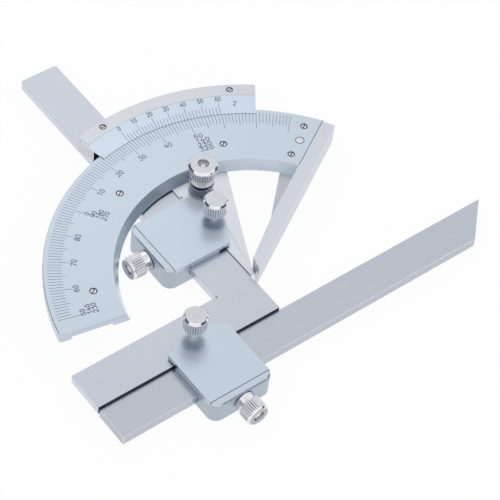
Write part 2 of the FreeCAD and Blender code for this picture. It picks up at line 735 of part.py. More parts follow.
def make_straight_blade():
    """Blade with one end at 45 degrees and a groove that runs out there on its underside."""
    edge_y = SQUARE_EDGE_Y - EDGE_GAP
    tip_x = BLADE_END_X + BLADE_LENGTH
    solid = plate([
        (BLADE_END_X, blade_free_y, 0),
        (tip_x - BLADE_WIDTH, blade_free_y, 0),
        (tip_x, edge_y, 0),
        (BLADE_END_X, edge_y, 0),
    ], blade_bottom, blade_top)
    middle = blade_free_y + GROOVE_MIDDLE
    groove = box(BLADE_END_X + GROOVE_STOP, tip_x, middle - GROOVE_WIDTH / 2,
                 middle + GROOVE_WIDTH / 2, blade_bottom, blade_bottom + GROOVE_DEPTH)
    return solid.cut(groove)


class Clamp:
    """One clamp, in its own frame: a along X, w along Y, resting on level zero."""

    def __init__(self, wrapped_width, wrapped_bottom, covered_bottom, covered_top):
        self.wrapped_width = wrapped_width
        self.floor_top = wrapped_bottom - SLIDE_GAP
        self.step_top = covered_bottom - SLIDE_GAP
        self.covered_top = covered_top
        self.cover_bottom = covered_top + COVER_ROOM
        self.cover_top = self.cover_bottom + COVER_THICKNESS
        self.bolt_level = self.cover_top / 2
        self.hook_bottom = self.floor_top - RUNNING_FIT - HOOK_THICKNESS

    def plan(self):
        """Outline from above, with rounded corners at the back and a blunt pointed nose."""
        half = CLAMP_WIDTH / 2
        return [
            (-CLAMP_BACK, -half, CLAMP_CORNER_RADIUS),
            (clamp_shoulder, -half, 0),
            (clamp_nose, 0, 0),
            (clamp_shoulder, half, 0),
            (-CLAMP_BACK, half, CLAMP_CORNER_RADIUS),
        ]

    def screw_places(self):
        side = COVER_SCREW_SPACING / 2
        return [(COVER_SCREW_PLACE, -side), (COVER_SCREW_PLACE, side)]

    def cover_screw_hole(self, place):
        return rod(COVER_SCREW_RADIUS + RUNNING_FIT, 0, self.cover_top - COVER_SKIN, place)

    def make_body(self):
        """C-shaped body: a back block with a lip, a floor, and a step under the covered piece."""
        half = CLAMP_WIDTH / 2
        whole = plate(self.plan(), 0, self.cover_top)
        whole = chamfer_top(whole, self.cover_top, CLAMP_CHAMFER)
        far = clamp_nose + 1
        step_start = self.wrapped_width + SLIDE_GAP
        whole = whole.cut(box(CLAMP_LIP - CLAMP_BACK, far, -half, half,
                              self.cover_bottom, self.cover_top))
        whole = whole.cut(box(-SLIDE_GAP, far, -half, half, self.step_top, self.cover_top))
        whole = whole.cut(box(-SLIDE_GAP, step_start, -half, half, self.floor_top, self.cover_top))
        side = HOOK_WIDTH / 2 + RUNNING_FIT
        post_back = -HOOK_POST - 2 * RUNNING_FIT - SLIDE_GAP
        hook_end = GROOVE_MIDDLE + hook_tooth / 2 + 2 * RUNNING_FIT
        pocket_top = self.bolt_level + DRAW_BOLT_RADIUS + RUNNING_FIT
        whole = whole.cut(box(post_back, -SLIDE_GAP, -side, side, self.hook_bottom, pocket_top))
        whole = whole.cut(box(-SLIDE_GAP, hook_end, -side, side, self.hook_bottom, self.floor_top))
        whole = whole.cut(self.along_a(rod(DRAW_BOLT_RADIUS + RUNNING_FIT, 0, CLAMP_BACK)))
        for place in self.screw_places():
            whole = whole.cut(self.cover_screw_hole(place))
        return whole

    def along_a(self, solid):
        """Lay a solid that stands on Z along the draw bolt, its foot at a = 0, outwards."""
        solid.rotate(vec(0, 0, 0), vec(0, 1, 0), -90)
        solid.translate(vec(0, 0, self.bolt_level))
        return solid

    def make_cover(self):
        """Flat cover with a blunt pointed nose, let in behind the body's lip."""
        back = CLAMP_LIP - CLAMP_BACK + RUNNING_FIT
        half = CLAMP_WIDTH / 2
        cover = plate(self.plan(), self.cover_bottom, self.cover_top)
        cover = cover.cut(box(-CLAMP_BACK, back, -half, half, self.cover_bottom, self.cover_top))
        cover = chamfer_top(cover, self.cover_top, EDGE_CHAMFER / 2)
        cover = cover.cut(rod(THUMBSCREW_STEM_RADIUS + RUNNING_FIT, self.cover_bottom,
                              self.cover_top, (thumbscrew_place, 0)))
        for place in self.screw_places():
            cover = cover.cut(self.cover_screw_hole(place))
        return cover

    def make_cover_screws(self):
        end = self.cover_top - COVER_SKIN - RUNNING_FIT
        return [headless_screw(COVER_SCREW_RADIUS, 0, end, place) for place in self.screw_places()]

    def make_pressure_pad(self):
        """Brass disc between the thumbscrew and the covered piece."""
        bottom = self.covered_top + SLIDE_GAP / 2
        return rod(PAD_RADIUS, bottom, bottom + PAD_THICKNESS, (thumbscrew_place, 0))

    def make_thumbscrew(self):
        """Small fluted head on a plain stem that passes through the cover."""
        top = self.cover_top + THUMBSCREW_HEIGHT
        neck = top - THUMBSCREW_HEAD
        foot = self.covered_top + SLIDE_GAP / 2 + PAD_THICKNESS + RUNNING_FIT
        head = knob(THUMBSCREW_RADIUS, THUMBSCREW_RADIUS, neck, top, THUMBSCREW_FLUTES)
        solid = head.fuse(rod(THUMBSCREW_STEM_RADIUS, foot, neck)).removeSplitter()
        solid.translate(vec(thumbscrew_place, 0))
        return solid

    def make_draw_nut(self):
        """Fluted nut on the draw bolt, with a plain collar and a recess in its face."""
        z0 = CLAMP_BACK + RUNNING_FIT
        z1 = z0 + DRAW_NUT_LENGTH
        collar_end = z0 + DRAW_NUT_COLLAR
        nut = knob(DRAW_NUT_RADIUS, DRAW_NUT_RADIUS, collar_end, z1, DRAW_NUT_FLUTES)
        nut = nut.fuse(rod(DRAW_NUT_COLLAR_RADIUS, z0, collar_end))
        nut = nut.cut(rod(DRAW_BOLT_RADIUS + RUNNING_FIT, z0, z1))
        nut = nut.cut(rod(DRAW_NUT_RECESS_RADIUS, z1 - DRAW_NUT_RECESS_DEPTH, z1))
        return self.along_a(nut.removeSplitter())

    def make_draw_bolt(self):
        """Stud that drops to a flat bar under the wrapped piece, with a tooth in its groove."""
        side = HOOK_WIDTH / 2
        post_back = -HOOK_POST - SLIDE_GAP - RUNNING_FIT
        post_front = -SLIDE_GAP - RUNNING_FIT
        end = CLAMP_BACK + RUNNING_FIT + DRAW_NUT_LENGTH - DRAW_BOLT_INSET
        stud = self.along_a(rod(DRAW_BOLT_RADIUS, -post_front, end))
        post = box(post_back, post_front, -side, side, self.hook_bottom,
                   self.bolt_level + DRAW_BOLT_RADIUS)
        tooth_front = GROOVE_MIDDLE + hook_tooth / 2
        bar_top = self.hook_bottom + HOOK_THICKNESS
        bar = box(post_back, tooth_front, -side, side, self.hook_bottom, bar_top)
        tooth = box(tooth_front - hook_tooth, tooth_front, -side, side, self.hook_bottom,
                    self.floor_top + GROOVE_DEPTH)
        return post.fuse([bar, tooth, stud]).removeSplitter()


def make_clamps():
    """Both clamps, each with the function that puts its pieces in the carrier's frame."""

    def at_clamp_1(solid):
        solid.translate(vec(square_free_x, clamp_1_place))
        return solid

    def at_clamp_2(solid):
        solid.rotate(vec(0, 0, 0), vec(0, 0, 1), 90)
        solid.translate(vec(clamp_2_place, blade_free_y))
        return solid

    first = Clamp(SQUARE_LEG_WIDTH, square_bottom, carrier_bottom, carrier_top)
    second = Clamp(BLADE_WIDTH, blade_bottom, square_bottom, square_top)
    return {"clamp_1": (first, at_clamp_1), "clamp_2": (second, at_clamp_2)}


def export(name, solids):
    """Write one node, a single solid or a group of like ones."""
    shape = Part.makeCompound(solids) if isinstance(solids, list) else solids
    shape.exportStep("parts/" + name + ".step")


os.makedirs("parts", exist_ok=True)

export("main_scale", make_main_scale())
export("base_blade", make_base_blade())
export("base_screws", make_base_screws())
export("base_dowel", make_base_dowel())
export("sector_rack", make_sector_rack())
export("rack_screws", make_rack_screws())

export("carrier_plate", in_carrier(make_carrier_plate()))
export("rim_block", in_carrier(make_rim_block()))
export("vernier_scale", in_carrier(make_vernier_scale()))
export("vernier_screws", [in_carrier(s) for s in make_vernier_screws()])
export("guide_shoes", [in_carrier(s) for s in make_guide_shoes()])
export("shoe_screws", [in_carrier(s) for s in make_shoe_screws()])
export("rim_screws", [in_carrier(s) for s in make_rim_screws()])
export("brake_stud", in_carrier(make_brake_stud()))
export("brake_washer", in_carrier(make_brake_washer()))
export("brake_nut", in_carrier(make_brake_nut()))
export("pinion_bush", in_carrier(make_pinion_bush()))
export("fine_adjust_pinion", in_carrier(make_fine_adjust_pinion()))
export("fine_adjust_knob", in_carrier(make_fine_adjust_knob()))
export("square", in_carrier(make_square()))
export("straight_blade", in_carrier(make_straight_blade()))

for clamp_name, (clamp, placed) in make_clamps().items():
    export(clamp_name + "_body", in_carrier(placed(clamp.make_body())))
    export(clamp_name + "_cover", in_carrier(placed(clamp.make_cover())))
    export(clamp_name + "_cover_screws",
           [in_carrier(placed(s)) for s in clamp.make_cover_screws()])
    export(clamp_name + "_pressure_pad", in_carrier(placed(clamp.make_pressure_pad())))
    export(clamp_name + "_thumbscrew", in_carrier(placed(clamp.make_thumbscrew())))
    export(clamp_name + "_draw_nut", in_carrier(placed(clamp.make_draw_nut())))
    export(clamp_name + "_draw_bolt", in_carrier(placed(clamp.make_draw_bolt())))
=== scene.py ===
"""Looks of the universal bevel protractor: satin chrome scale plates, ground steel blades,
knurled screws whose bright sides are a painted highlight, and the cut and enamel-filled degree
lines; painted shade lies in gaps, recesses and grooves and on some faces, and painted highlights
on eased edges. Units are metres, in the CAD's frame; sizes of pieces are written in millimetres
and turned to metres by MM."""
import json
import math
import bmesh
import bpy
import numpy as np
from mathutils import Matrix, Vector


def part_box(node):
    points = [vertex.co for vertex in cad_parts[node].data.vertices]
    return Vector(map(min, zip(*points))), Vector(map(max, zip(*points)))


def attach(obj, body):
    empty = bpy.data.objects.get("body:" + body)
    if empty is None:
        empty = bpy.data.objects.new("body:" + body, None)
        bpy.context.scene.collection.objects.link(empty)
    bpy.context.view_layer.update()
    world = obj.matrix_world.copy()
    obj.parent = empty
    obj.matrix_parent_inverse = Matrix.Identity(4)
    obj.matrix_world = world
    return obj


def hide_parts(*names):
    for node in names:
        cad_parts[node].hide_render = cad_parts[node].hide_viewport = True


MM = 0.001
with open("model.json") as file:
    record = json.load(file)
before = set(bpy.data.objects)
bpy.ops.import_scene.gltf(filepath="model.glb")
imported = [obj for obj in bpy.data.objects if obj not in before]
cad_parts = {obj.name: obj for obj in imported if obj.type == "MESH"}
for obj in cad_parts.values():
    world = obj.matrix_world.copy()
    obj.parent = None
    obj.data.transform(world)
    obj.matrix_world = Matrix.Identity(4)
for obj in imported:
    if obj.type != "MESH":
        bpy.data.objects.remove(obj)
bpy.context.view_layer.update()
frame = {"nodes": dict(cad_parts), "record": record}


# Camera. It looks down at the tool from beyond the free end of the straight blade, from well
# back, so that the plates are only slightly foreshortened, and it is turned a little on its axis.

CAMERA_PLACE = Vector((-409.75, -114.41, 531.10)) * MM
CAMERA_AZIMUTH = math.radians(196.19)
CAMERA_ELEVATION = math.radians(50.28)
CAMERA_ROLL = math.radians(7.60)
CAMERA_LENS = 156.59

backwards = Vector((
    math.cos(CAMERA_ELEVATION) * math.cos(CAMERA_AZIMUTH),
    math.cos(CAMERA_ELEVATION) * math.sin(CAMERA_AZIMUTH),
    math.sin(CAMERA_ELEVATION),
))
level_right = Vector((-math.sin(CAMERA_AZIMUTH), math.cos(CAMERA_AZIMUTH), 0))
level_up = backwards.cross(level_right)
right = level_right * math.cos(CAMERA_ROLL) + level_up * math.sin(CAMERA_ROLL)
up = backwards.cross(right)
camera = bpy.data.objects.new("camera", bpy.data.cameras.new("camera"))
camera.data.lens = CAMERA_LENS
camera.data.clip_end = 5
camera.matrix_world = Matrix((right, up, backwards)).transposed().to_4x4()
camera.matrix_world.translation = CAMERA_PLACE
bpy.context.collection.objects.link(camera)
bpy.context.scene.camera = camera
bpy.context.scene.view_settings.view_transform = "Standard"


# Shader building, used by the surroundings and by every finish below. A Tap is one socket of a
# node tree; arithmetic on it adds Math nodes, and a Bench adds any other node.

class Tap:
    def __init__(self, bench, socket):
        self.bench = bench
        self.socket = socket

    def join(self, operation, first, second):
        """One Math node on two values."""
        return self.bench.node("ShaderNodeMath", {"operation": operation}, {0: first, 1: second})

    def __add__(self, other):
        return self.join("ADD", self, other)

    def __mul__(self, other):
        return self.join("MULTIPLY", self, other)

    def __sub__(self, other):
        return self.join("SUBTRACT", self, other)

    def __rsub__(self, other):
        return self.join("SUBTRACT", other, self)

    def __pow__(self, other):
        return self.join("POWER", self, other)

    __radd__ = __add__
    __rmul__ = __mul__

    def spread(self, low, high, to_low=0.0, to_high=1.0):
        """The value carried smoothly from one range to another."""
        settings = {"interpolation_type": "SMOOTHSTEP"}
        ends = {"From Min": low, "From Max": high, "To Min": to_low, "To Max": to_high}
        return self.bench.node("ShaderNodeMapRange", settings, {"Value": self, **ends}, "Result")


class Bench:
    def __init__(self, owner):
        owner.use_nodes = True
        self.tree = owner.node_tree
        self.tree.nodes.clear()

    def node(self, kind, settings=None, inputs=None, output=0):
        """Add a node; settings come first, then its sockets get values or links."""
        made = self.tree.nodes.new(kind)
        for name, value in (settings or {}).items():
            setattr(made, name, value)
        for name, value in (inputs or {}).items():
            if isinstance(value, Tap):
                self.tree.links.new(value.socket, made.inputs[name])
            else:
                made.inputs[name].default_value = value
        return Tap(self, made.outputs[output]) if len(made.outputs) else None

    def mix(self, share, first, second):
        """Two colours mixed by a share of 0 to 1."""
        made = self.tree.nodes.new("ShaderNodeMix")
        made.data_type = "RGBA"
        for index, value in ((0, share), (6, first), (7, second)):
            if isinstance(value, Tap):
                self.tree.links.new(value.socket, made.inputs[index])
            else:
                made.inputs[index].default_value = value
        return Tap(self, made.outputs[2])

    def parts(self, vector):
        """The x, y and z of a vector."""
        split = self.node("ShaderNodeSeparateXYZ", None, {0: vector})
        outputs = split.socket.node.outputs
        return [Tap(self, outputs[i]) for i in range(3)]


# Surroundings. A white sweep in a tent of white cloth, a little dimmer straight above; the tent is
# open and dark low down on both sides, which is what draws the dark patches on polished metal.

ROOM_WHITE = (1.0, 1.0, 1.0, 1)
ROOM_ABOVE = (0.86, 0.87, 0.89, 1)
ROOM_HORIZON = (0.80, 0.83, 0.88, 1)
ROOM_OPENING = (0.10, 0.12, 0.17, 1)
HORIZON_BAND = (0.0, 0.4)
ABOVE_BAND = (0.70, 0.95)
OPENING_AXIS = (0.279, -0.960, 0.0)
OPENING_SIDES = (0.40, 0.66)
OPENING_TOP = (0.58, 0.40)
FLOOR_REACH = 3.0
FLOOR_COLOUR = (0.92, 0.92, 0.93, 1)
FLOOR_SHINE_THROUGH = 0.94

room = bpy.data.worlds.new("room")
bpy.context.scene.world = room
bench = Bench(room)
direction = bench.node("ShaderNodeTexCoord", None, None, "Generated")
height = bench.parts(direction)[2]
sideways = bench.node("ShaderNodeVectorMath", {"operation": "DOT_PRODUCT"},
                      {0: direction, 1: OPENING_AXIS}, "Value")
sky = bench.mix(height.spread(*HORIZON_BAND), ROOM_HORIZON, ROOM_WHITE)
sky = bench.mix(height.spread(*ABOVE_BAND), sky, ROOM_ABOVE)
opening = (sideways * sideways).spread(*OPENING_SIDES) * height.spread(*OPENING_TOP)
sky = bench.mix(opening, sky, ROOM_OPENING)
seen = bench.node("ShaderNodeLightPath", None, None, "Is Camera Ray")
sky = bench.mix(seen, sky, ROOM_WHITE)
background = bench.node("ShaderNodeBackground", None, {"Color": sky, "Strength": 1.0})
bench.node("ShaderNodeOutputWorld", None, {"Surface": background})


def set_out(name, mesh, materials):
    """An object in the scene, at the origin, for a mesh and its materials."""
    for material in materials:
        mesh.materials.append(material)
    made = bpy.data.objects.new(name, mesh)
    bpy.context.collection.objects.link(made)
    return made


floor_mesh = bpy.data.meshes.new("floor")
reach = FLOOR_REACH
floor_mesh.from_pydata(
    [(-reach, -reach, 0), (reach, -reach, 0), (reach, reach, 0), (-reach, reach, 0)],
    [], [(0, 1, 2, 3)])
white_sweep = bpy.data.materials.new("white_sweep")
floor = set_out("floor", floor_mesh, [white_sweep])
bench = Bench(white_sweep)
matt = bench.node("ShaderNodeBsdfDiffuse", None, {"Color": FLOOR_COLOUR})
glow = bench.node("ShaderNodeEmission", None, {"Color": ROOM_WHITE, "Strength": 1.0})
rays = bench.tree.nodes.new("ShaderNodeLightPath").outputs
seen = Tap(bench, rays["Is Camera Ray"]) + Tap(bench, rays["Is Glossy Ray"])
mixed = bench.node("ShaderNodeMixShader", None, {0: seen * FLOOR_SHINE_THROUGH, 1: matt, 2: glow})
bench.node("ShaderNodeOutputMaterial", None, {"Surface": mixed})


LAMP_AIM = (0, 0.02, 0)
LAMP_SIZE = 0.5


def soft_lamp(name, place, power):
    """A square area lamp, its place in metres, that faces a point on the tool."""
    lamp = bpy.data.lights.new(name, "AREA")
    lamp.size = LAMP_SIZE
    lamp.energy = power
    lamp_object = bpy.data.objects.new(name, lamp)
    lamp_object.location = place
    turn = (Vector(LAMP_AIM) - Vector(place)).to_track_quat("-Z", "Y")
    lamp_object.rotation_euler = turn.to_euler()
    bpy.context.collection.objects.link(lamp_object)


soft_lamp("key_lamp", (0.78, 0.50, 0.92), 0.16)
soft_lamp("side_lamp", (0.25, -0.9, 0.55), 0.5)


# Finishes. Satin chrome is a fine, even, cold grey-blue; ground steel keeps the grain of the
# grinder along one direction; turned steel keeps fine rings round its own axis.

def finish(name, colour, roughness):
    """A metal material of one colour and roughness, with what the caller needs to vary them:
    its nodes, the place on the piece in Object coordinates, and the shader."""
    material = bpy.data.materials.new(name)
    bench = Bench(material)
    place = bench.node("ShaderNodeTexCoord", None, None, "Object")
    shader = bench.tree.nodes.new("ShaderNodeBsdfPrincipled")
    shader.inputs["Metallic"].default_value = 1.0
    shader.inputs["Base Color"].default_value = colour
    shader.inputs["Roughness"].default_value = roughness
    bench.node("ShaderNodeOutputMaterial", None, {"Surface": Tap(bench, shader.outputs[0])})
    return material, bench, place, shader


def wire(bench, tap, shader, socket):
    """Link a value to a shader's socket."""
    bench.tree.links.new(tap.socket, shader.inputs[socket])


def shade(colour, factor):
    """A colour made brighter or darker by a factor, and opaque."""
    return tuple(part * factor for part in colour[:3]) + (1,)


NOISE_RANGE = (0.3, 0.7)
STAIN_RANGE = (0.35, 0.7)


def noise(bench, place, scale, detail=2.0):
    """Cloudy noise, mostly within NOISE_RANGE, with about as many waves to a metre as its scale
    says."""
    return bench.node("ShaderNodeTexNoise", None,
                      {"Vector": place, "Scale": scale, "Detail": detail}, "Fac")


SATIN_BLUE = (0.560, 0.630, 0.717, 1)
SATIN_GRAIN = 9000
SATIN_CLOUD = 60
SATIN_TOOTH = 0.12
SATIN_DRIFT = 0.015
SATIN_ROUGHNESS = (0.25, 0.29)


def satin_chrome(name, tone=1.0):
    """Matt chrome: a fine even tooth from blasting, with slow clouds in tone and gloss."""
    base = shade(SATIN_BLUE, tone)
    material, bench, place, shader = finish(name, base, sum(SATIN_ROUGHNESS) / 2)
    tooth = noise(bench, place, SATIN_GRAIN)
    cloud = noise(bench, place, SATIN_CLOUD)
    clouded = bench.mix(cloud.spread(*NOISE_RANGE), shade(base, 1 - SATIN_DRIFT),
                        shade(base, 1 + SATIN_DRIFT))
    wire(bench, bench.mix(tooth * SATIN_TOOTH, clouded, shade(base, 0.8)), shader, "Base Color")
    wire(bench, cloud.spread(*NOISE_RANGE, *SATIN_ROUGHNESS) + tooth * 0.04, shader, "Roughness")
    bump = bench.node("ShaderNodeBump", None,
                      {"Strength": 0.10, "Distance": 0.02 * MM, "Height": tooth})
    wire(bench, bump, shader, "Normal")
    return material


STEEL_GREY = (0.500, 0.535, 0.595, 1)
SCRATCH_LENGTH = 16.0
SCRATCH_WIDTH = 0.055
BAND_LENGTH = 90.0
BAND_WIDTH = 0.6
STEEL_CLOUD = 45


def streaks(bench, place, degrees, length, width, detail):
    """Noise drawn out into streaks of about one length and width, in millimetres."""
    stretched = bench.node("ShaderNodeMapping", {"vector_type": "POINT"}, {
        "Vector": bench.node("ShaderNodeVectorRotate", {"rotation_type": "Z_AXIS"},
                             {"Vector": place, "Angle": -math.radians(degrees)}, "Vector"),
        "Scale": (1 / (length * MM), 1 / (width * MM), 1 / (width * MM)),
    }, "Vector")
    return noise(bench, stretched, 1.0, detail)


def ground_steel(name, grain_degrees, tone=1.0, colour=STEEL_GREY, gloss=0.30):
    """Ground steel: long fine scratches along one direction, on broader faint bands."""
    base = shade(colour, tone)
    material, bench, place, shader = finish(name, base, gloss)
    scratch = streaks(bench, place, grain_degrees, SCRATCH_LENGTH, SCRATCH_WIDTH, 3.0)
    band = streaks(bench, place, grain_degrees, BAND_LENGTH, BAND_WIDTH, 1.0)
    cloud = noise(bench, place, STEEL_CLOUD)
    share = scratch * 0.5 + band * 0.3 + cloud * 0.2
    coloured = bench.mix(share.spread(0.36, 0.64), shade(base, 0.972), shade(base, 1.025))
    wire(bench, coloured, shader, "Base Color")
    wire(bench, scratch.spread(*NOISE_RANGE, gloss - 0.04, gloss + 0.05), shader, "Roughness")
    bump = bench.node("ShaderNodeBump", None,
                      {"Strength": 0.08, "Distance": 0.008 * MM, "Height": scratch + band * 0.4})
    wire(bench, bump, shader, "Normal")
    return material


TURNED_COLOUR = (0.74, 0.735, 0.745, 1)
RING_PITCH = 0.11
STAIN_SCALE = 420
Z_AXIS = (0, 0, 1)


def turned_steel(name, centre, axis=Z_AXIS, colour=TURNED_COLOUR, roughness=0.17,
                 stained=0.05):
    """Turned steel: faint rings about an axis through a centre, and small stains.

    The distance from the axis is the length of the offset from the centre less its part along
    the axis; the rings are a sine of that distance and of the height along the axis.
    """
    material, bench, place, shader = finish(name, colour, roughness)
    offset = bench.node("ShaderNodeVectorMath", {"operation": "SUBTRACT"},
                        {0: place, 1: tuple(centre)}, "Vector")
    along = bench.node("ShaderNodeVectorMath", {"operation": "DOT_PRODUCT"},
                       {0: offset, 1: tuple(axis)}, "Value")
    whole = bench.node("ShaderNodeVectorMath", {"operation": "LENGTH"}, {0: offset}, "Value")
    radius = (whole * whole - along * along) ** 0.5
    wave = (radius + along) * (2 * math.pi / (RING_PITCH * MM))
    rings = bench.node("ShaderNodeMath", {"operation": "SINE"}, {0: wave})
    stain = noise(bench, place, STAIN_SCALE, 3.0)
    mixed = bench.mix(stain.spread(*STAIN_RANGE), colour, shade(colour, 1 - 2 * stained))
    wire(bench, mixed, shader, "Base Color")
    wire(bench, stain.spread(*NOISE_RANGE, roughness - stained, roughness + stained), shader,
         "Roughness")
    bump = bench.node("ShaderNodeBump", None,
                      {"Strength": 0.08, "Distance": 0.01 * MM, "Height": rings + stain * stained})
    wire(bench, bump, shader, "Normal")
    return material


# Arc. A flat satin plate, ground and plated, with a sloped inner wall that keeps the rings of the
# grinding wheel, and a channel underneath; its sharp edges are eased with a stone. The wall is
# painted lighter than the plate, and the eased edges lighter still: painted light.

EDGE_EASE = 0.10
WALL_LIT_COLOUR = (0.80, 0.88, 0.95, 1)
WELD = 0.001
SHARP_ANGLE = math.radians(25)
EASED_ANGLE = math.radians(28)

# A face looks along a direction where its normal's share in that direction is past these.
FACING = 0.9
INWARD_FACING = 0.7


def turned_out(mesh, weld=0.0):
    """Merge points closer than a distance in millimetres, if one is given, and turn all faces
    outwards."""
    work = bmesh.new()
    work.from_mesh(mesh)
    if weld:
        bmesh.ops.remove_doubles(work, verts=work.verts, dist=weld * MM)
    bmesh.ops.recalc_face_normals(work, faces=work.faces)
    work.to_mesh(mesh)
    work.free()


def face_table(mesh):
    """The faces' centres, in millimetres, and their normals, as arrays of x, y and z."""
    centres = np.empty(len(mesh.polygons) * 3)
    normals = np.empty(len(mesh.polygons) * 3)
    mesh.polygons.foreach_get("center", centres)
    mesh.polygons.foreach_get("normal", normals)
    return centres.reshape(-1, 3) / MM, normals.reshape(-1, 3)


def ease_edges(piece, width):
    """Round a piece's edges over a width, in two steps."""
    bevel = piece.modifiers.new("eased_edges", "BEVEL")
    bevel.width = width * MM
    bevel.segments = 2
    return bevel


def eased(node, name, body, materials, width=EDGE_EASE, choose=None, edge=-1):
    """A copy of a CAD node as one welded skin with small rounded edges.

    choose takes the face centres and normals as arrays and gives each face its material's index;
    edge is the index of the rounded edges' material, or -1 where they follow the faces.
    """
    mesh = frame["nodes"][node].data.copy()
    mesh.name = name
    turned_out(mesh, WELD)
    mesh.shade_smooth()
    mesh.set_sharp_from_angle(angle=SHARP_ANGLE)
    mesh.materials.clear()
    which = np.zeros(len(mesh.polygons), dtype=np.int32)
    if choose:
        which[:] = choose(*face_table(mesh))
    mesh.polygons.foreach_set("material_index", which)
    piece = set_out(name, mesh, materials)
    bevel = ease_edges(piece, width)
    bevel.limit_method = "ANGLE"
    bevel.angle_limit = EASED_ANGLE
    bevel.use_clamp_overlap = True
    bevel.material = edge
    flat = piece.modifiers.new("flat_faces", "WEIGHTED_NORMAL")
    flat.keep_sharp = True
    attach(piece, body)
    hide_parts(node)
    return piece


def inner_wall(centres, normals):
    """One where a face looks towards the arc's centre, nought elsewhere."""
    outward = centres[:, :2] / np.linalg.norm(centres[:, :2], axis=1, keepdims=True)
    return (np.sum(outward * normals[:, :2], axis=1) < -INWARD_FACING).astype(np.int32)


# The eased edges of plates, blades and clamps, and the vernier's inner wall, take a much lighter
# steel than their faces: a painted highlight.
EDGE_HIGHLIGHT_COLOUR = (0.93, 0.94, 0.96, 1)

satin = satin_chrome("satin_chrome")
edge_highlight_steel = turned_steel("painted_edge_highlight", (0, 0, 0), colour=EDGE_HIGHLIGHT_COLOUR, roughness=0.25, stained=0.03)
# The inner wall's steel is painted lighter than the plate: painted light over the grinder's rings.
lit_wall_steel = turned_steel("ring_ground_wall_painted_light", (0, 0, 0), colour=WALL_LIT_COLOUR, roughness=0.36,
                          stained=0.01)
eased("main_scale", "scale_plate", "main_scale",
      [satin, lit_wall_steel, edge_highlight_steel], choose=inner_wall, edge=2)


# Base blade. A hardened steel bar, ground lengthwise, screwed and pinned under the end of the arc.
# Its low wedge beside the arc is ground in another pass, and is painted darker: painted shade.

BASE_GREY = (0.610, 0.640, 0.700, 1)
WEDGE_SHADE = 0.79
WEDGE_TOP = 7.0
WEDGE_GRAIN = 60


def wedge_faces(centres, normals):
    """Two for the top of the wedge below the arc's level, which is painted darker as shade, nought
    elsewhere.
    """
    return np.where((centres[:, 2] < WEDGE_TOP) & (normals[:, 2] > FACING), 2, 0)


base_steel = ground_steel("base_steel", 0, colour=BASE_GREY)
# The wedge's darker copy of the steel is painted shade.
shaded_wedge_steel = ground_steel("shaded_wedge_steel", WEDGE_GRAIN, WEDGE_SHADE, BASE_GREY)
eased("base_blade", "base_bar", "main_scale",
      [base_steel, edge_highlight_steel, shaded_wedge_steel], choose=wedge_faces, edge=1)


# Screws and dowel in the arc. Turned slotted heads sit in counterbores a little below the face;
# the dowel is driven flush and ground off with it. The slots, the heads' side walls and their
# rounded rims are painted near-black: painted shade.

SCREW_GREY = (0.70, 0.72, 0.77, 1)
PAINTED_SHADE_GREY = (0.050, 0.065, 0.105, 1)
SCREW_RIM = 0.32
HEAD_DEPTH = 0.05
FLAT_SHARE = 0.6

small_steel = turned_steel("screw_steel", (0, 0, 0), colour=SCREW_GREY, roughness=0.26)
# Near-black steel that stands in for shade in recesses, slots and seams: painted shade.
painted_shade_steel = turned_steel("recess_painted_shade", (0, 0, 0), colour=PAINTED_SHADE_GREY, roughness=0.35)


def recessed(centres, normals):
    """One for the slots' and heads' side walls and floors, which take the painted shade, nought
    for the faces on top.
    """
    top = centres[:, 2] > centres[:, 2].max() - HEAD_DEPTH
    return (~top | (normals[:, 2] < FLAT_SHARE)).astype(np.int32)


for node, name in (("base_screws", "base_screw_heads"), ("rack_screws", "sector_screw_heads"),
                   ("base_dowel", "ground_dowel")):
    eased(node, name, "main_scale", [small_steel, painted_shade_steel], SCREW_RIM,
          choose=recessed, edge=1)


# Toothed sector. A curved steel strip, milled flat, with its teeth left as cut. It lies in the
# channel under the arc, held by screws from above.

MILLED_GRAIN = 40
MILLED_TONE = 0.9

rack_steel = ground_steel("milled_steel", MILLED_GRAIN, MILLED_TONE)


def dress(node, material):
    """Give a CAD node that stays its finish."""
    mesh_object = frame["nodes"][node]
    if not mesh_object.material_slots:
        mesh_object.data.materials.append(material)
    for slot in mesh_object.material_slots:
        slot.material = material


dress("sector_rack", rack_steel)


# Degree lines of the arc. They are cut and filled with dark enamel; each is drawn here as a thin
# closed ribbon that stands a hair proud of the plate.

INK_AND_SHADE = (0.035, 0.050, 0.085, 1)
LINE_WIDTH = 0.13
INK_LIFT = 0.012
INK_DEPTH = 0.02
SCALE_ZERO_ANGLE = 93.5
SCALE_FIRST = -40
SCALE_LAST = 80
ENAMEL_GRAIN = 1400
THIN_TONE = 1.9
LINE_OUTER = 66.0
LINE_INNER_UNIT = 61.5
LINE_INNER_FIVE = 60.4
LINE_INNER_TEN = 59.1


def enamel(name, colour):
    """Dark filled lines, a little uneven in tone where the filling is thin; the same dark material
    also makes ribbons of painted shadow in gaps and seams.
    """
    material = bpy.data.materials.new(name)
    bench = Bench(material)
    place = bench.node("ShaderNodeTexCoord", None, None, "Object")
    thin = noise(bench, place, ENAMEL_GRAIN, 3.0)
    toned = bench.mix(thin.spread(*STAIN_RANGE), colour, shade(colour, THIN_TONE))
    shader = bench.node("ShaderNodeBsdfPrincipled", None,
                        {"Base Color": toned, "Roughness": thin.spread(0.2, 0.8, 0.45, 0.6)})
    bench.node("ShaderNodeOutputMaterial", None, {"Surface": shader})
    return material


def polar(radius, degrees):
    """Points at radii and angles in the plane, as an array of x and y."""
    angle = np.radians(degrees)
    return np.stack([radius * np.cos(angle), radius * np.sin(angle)], axis=-1)


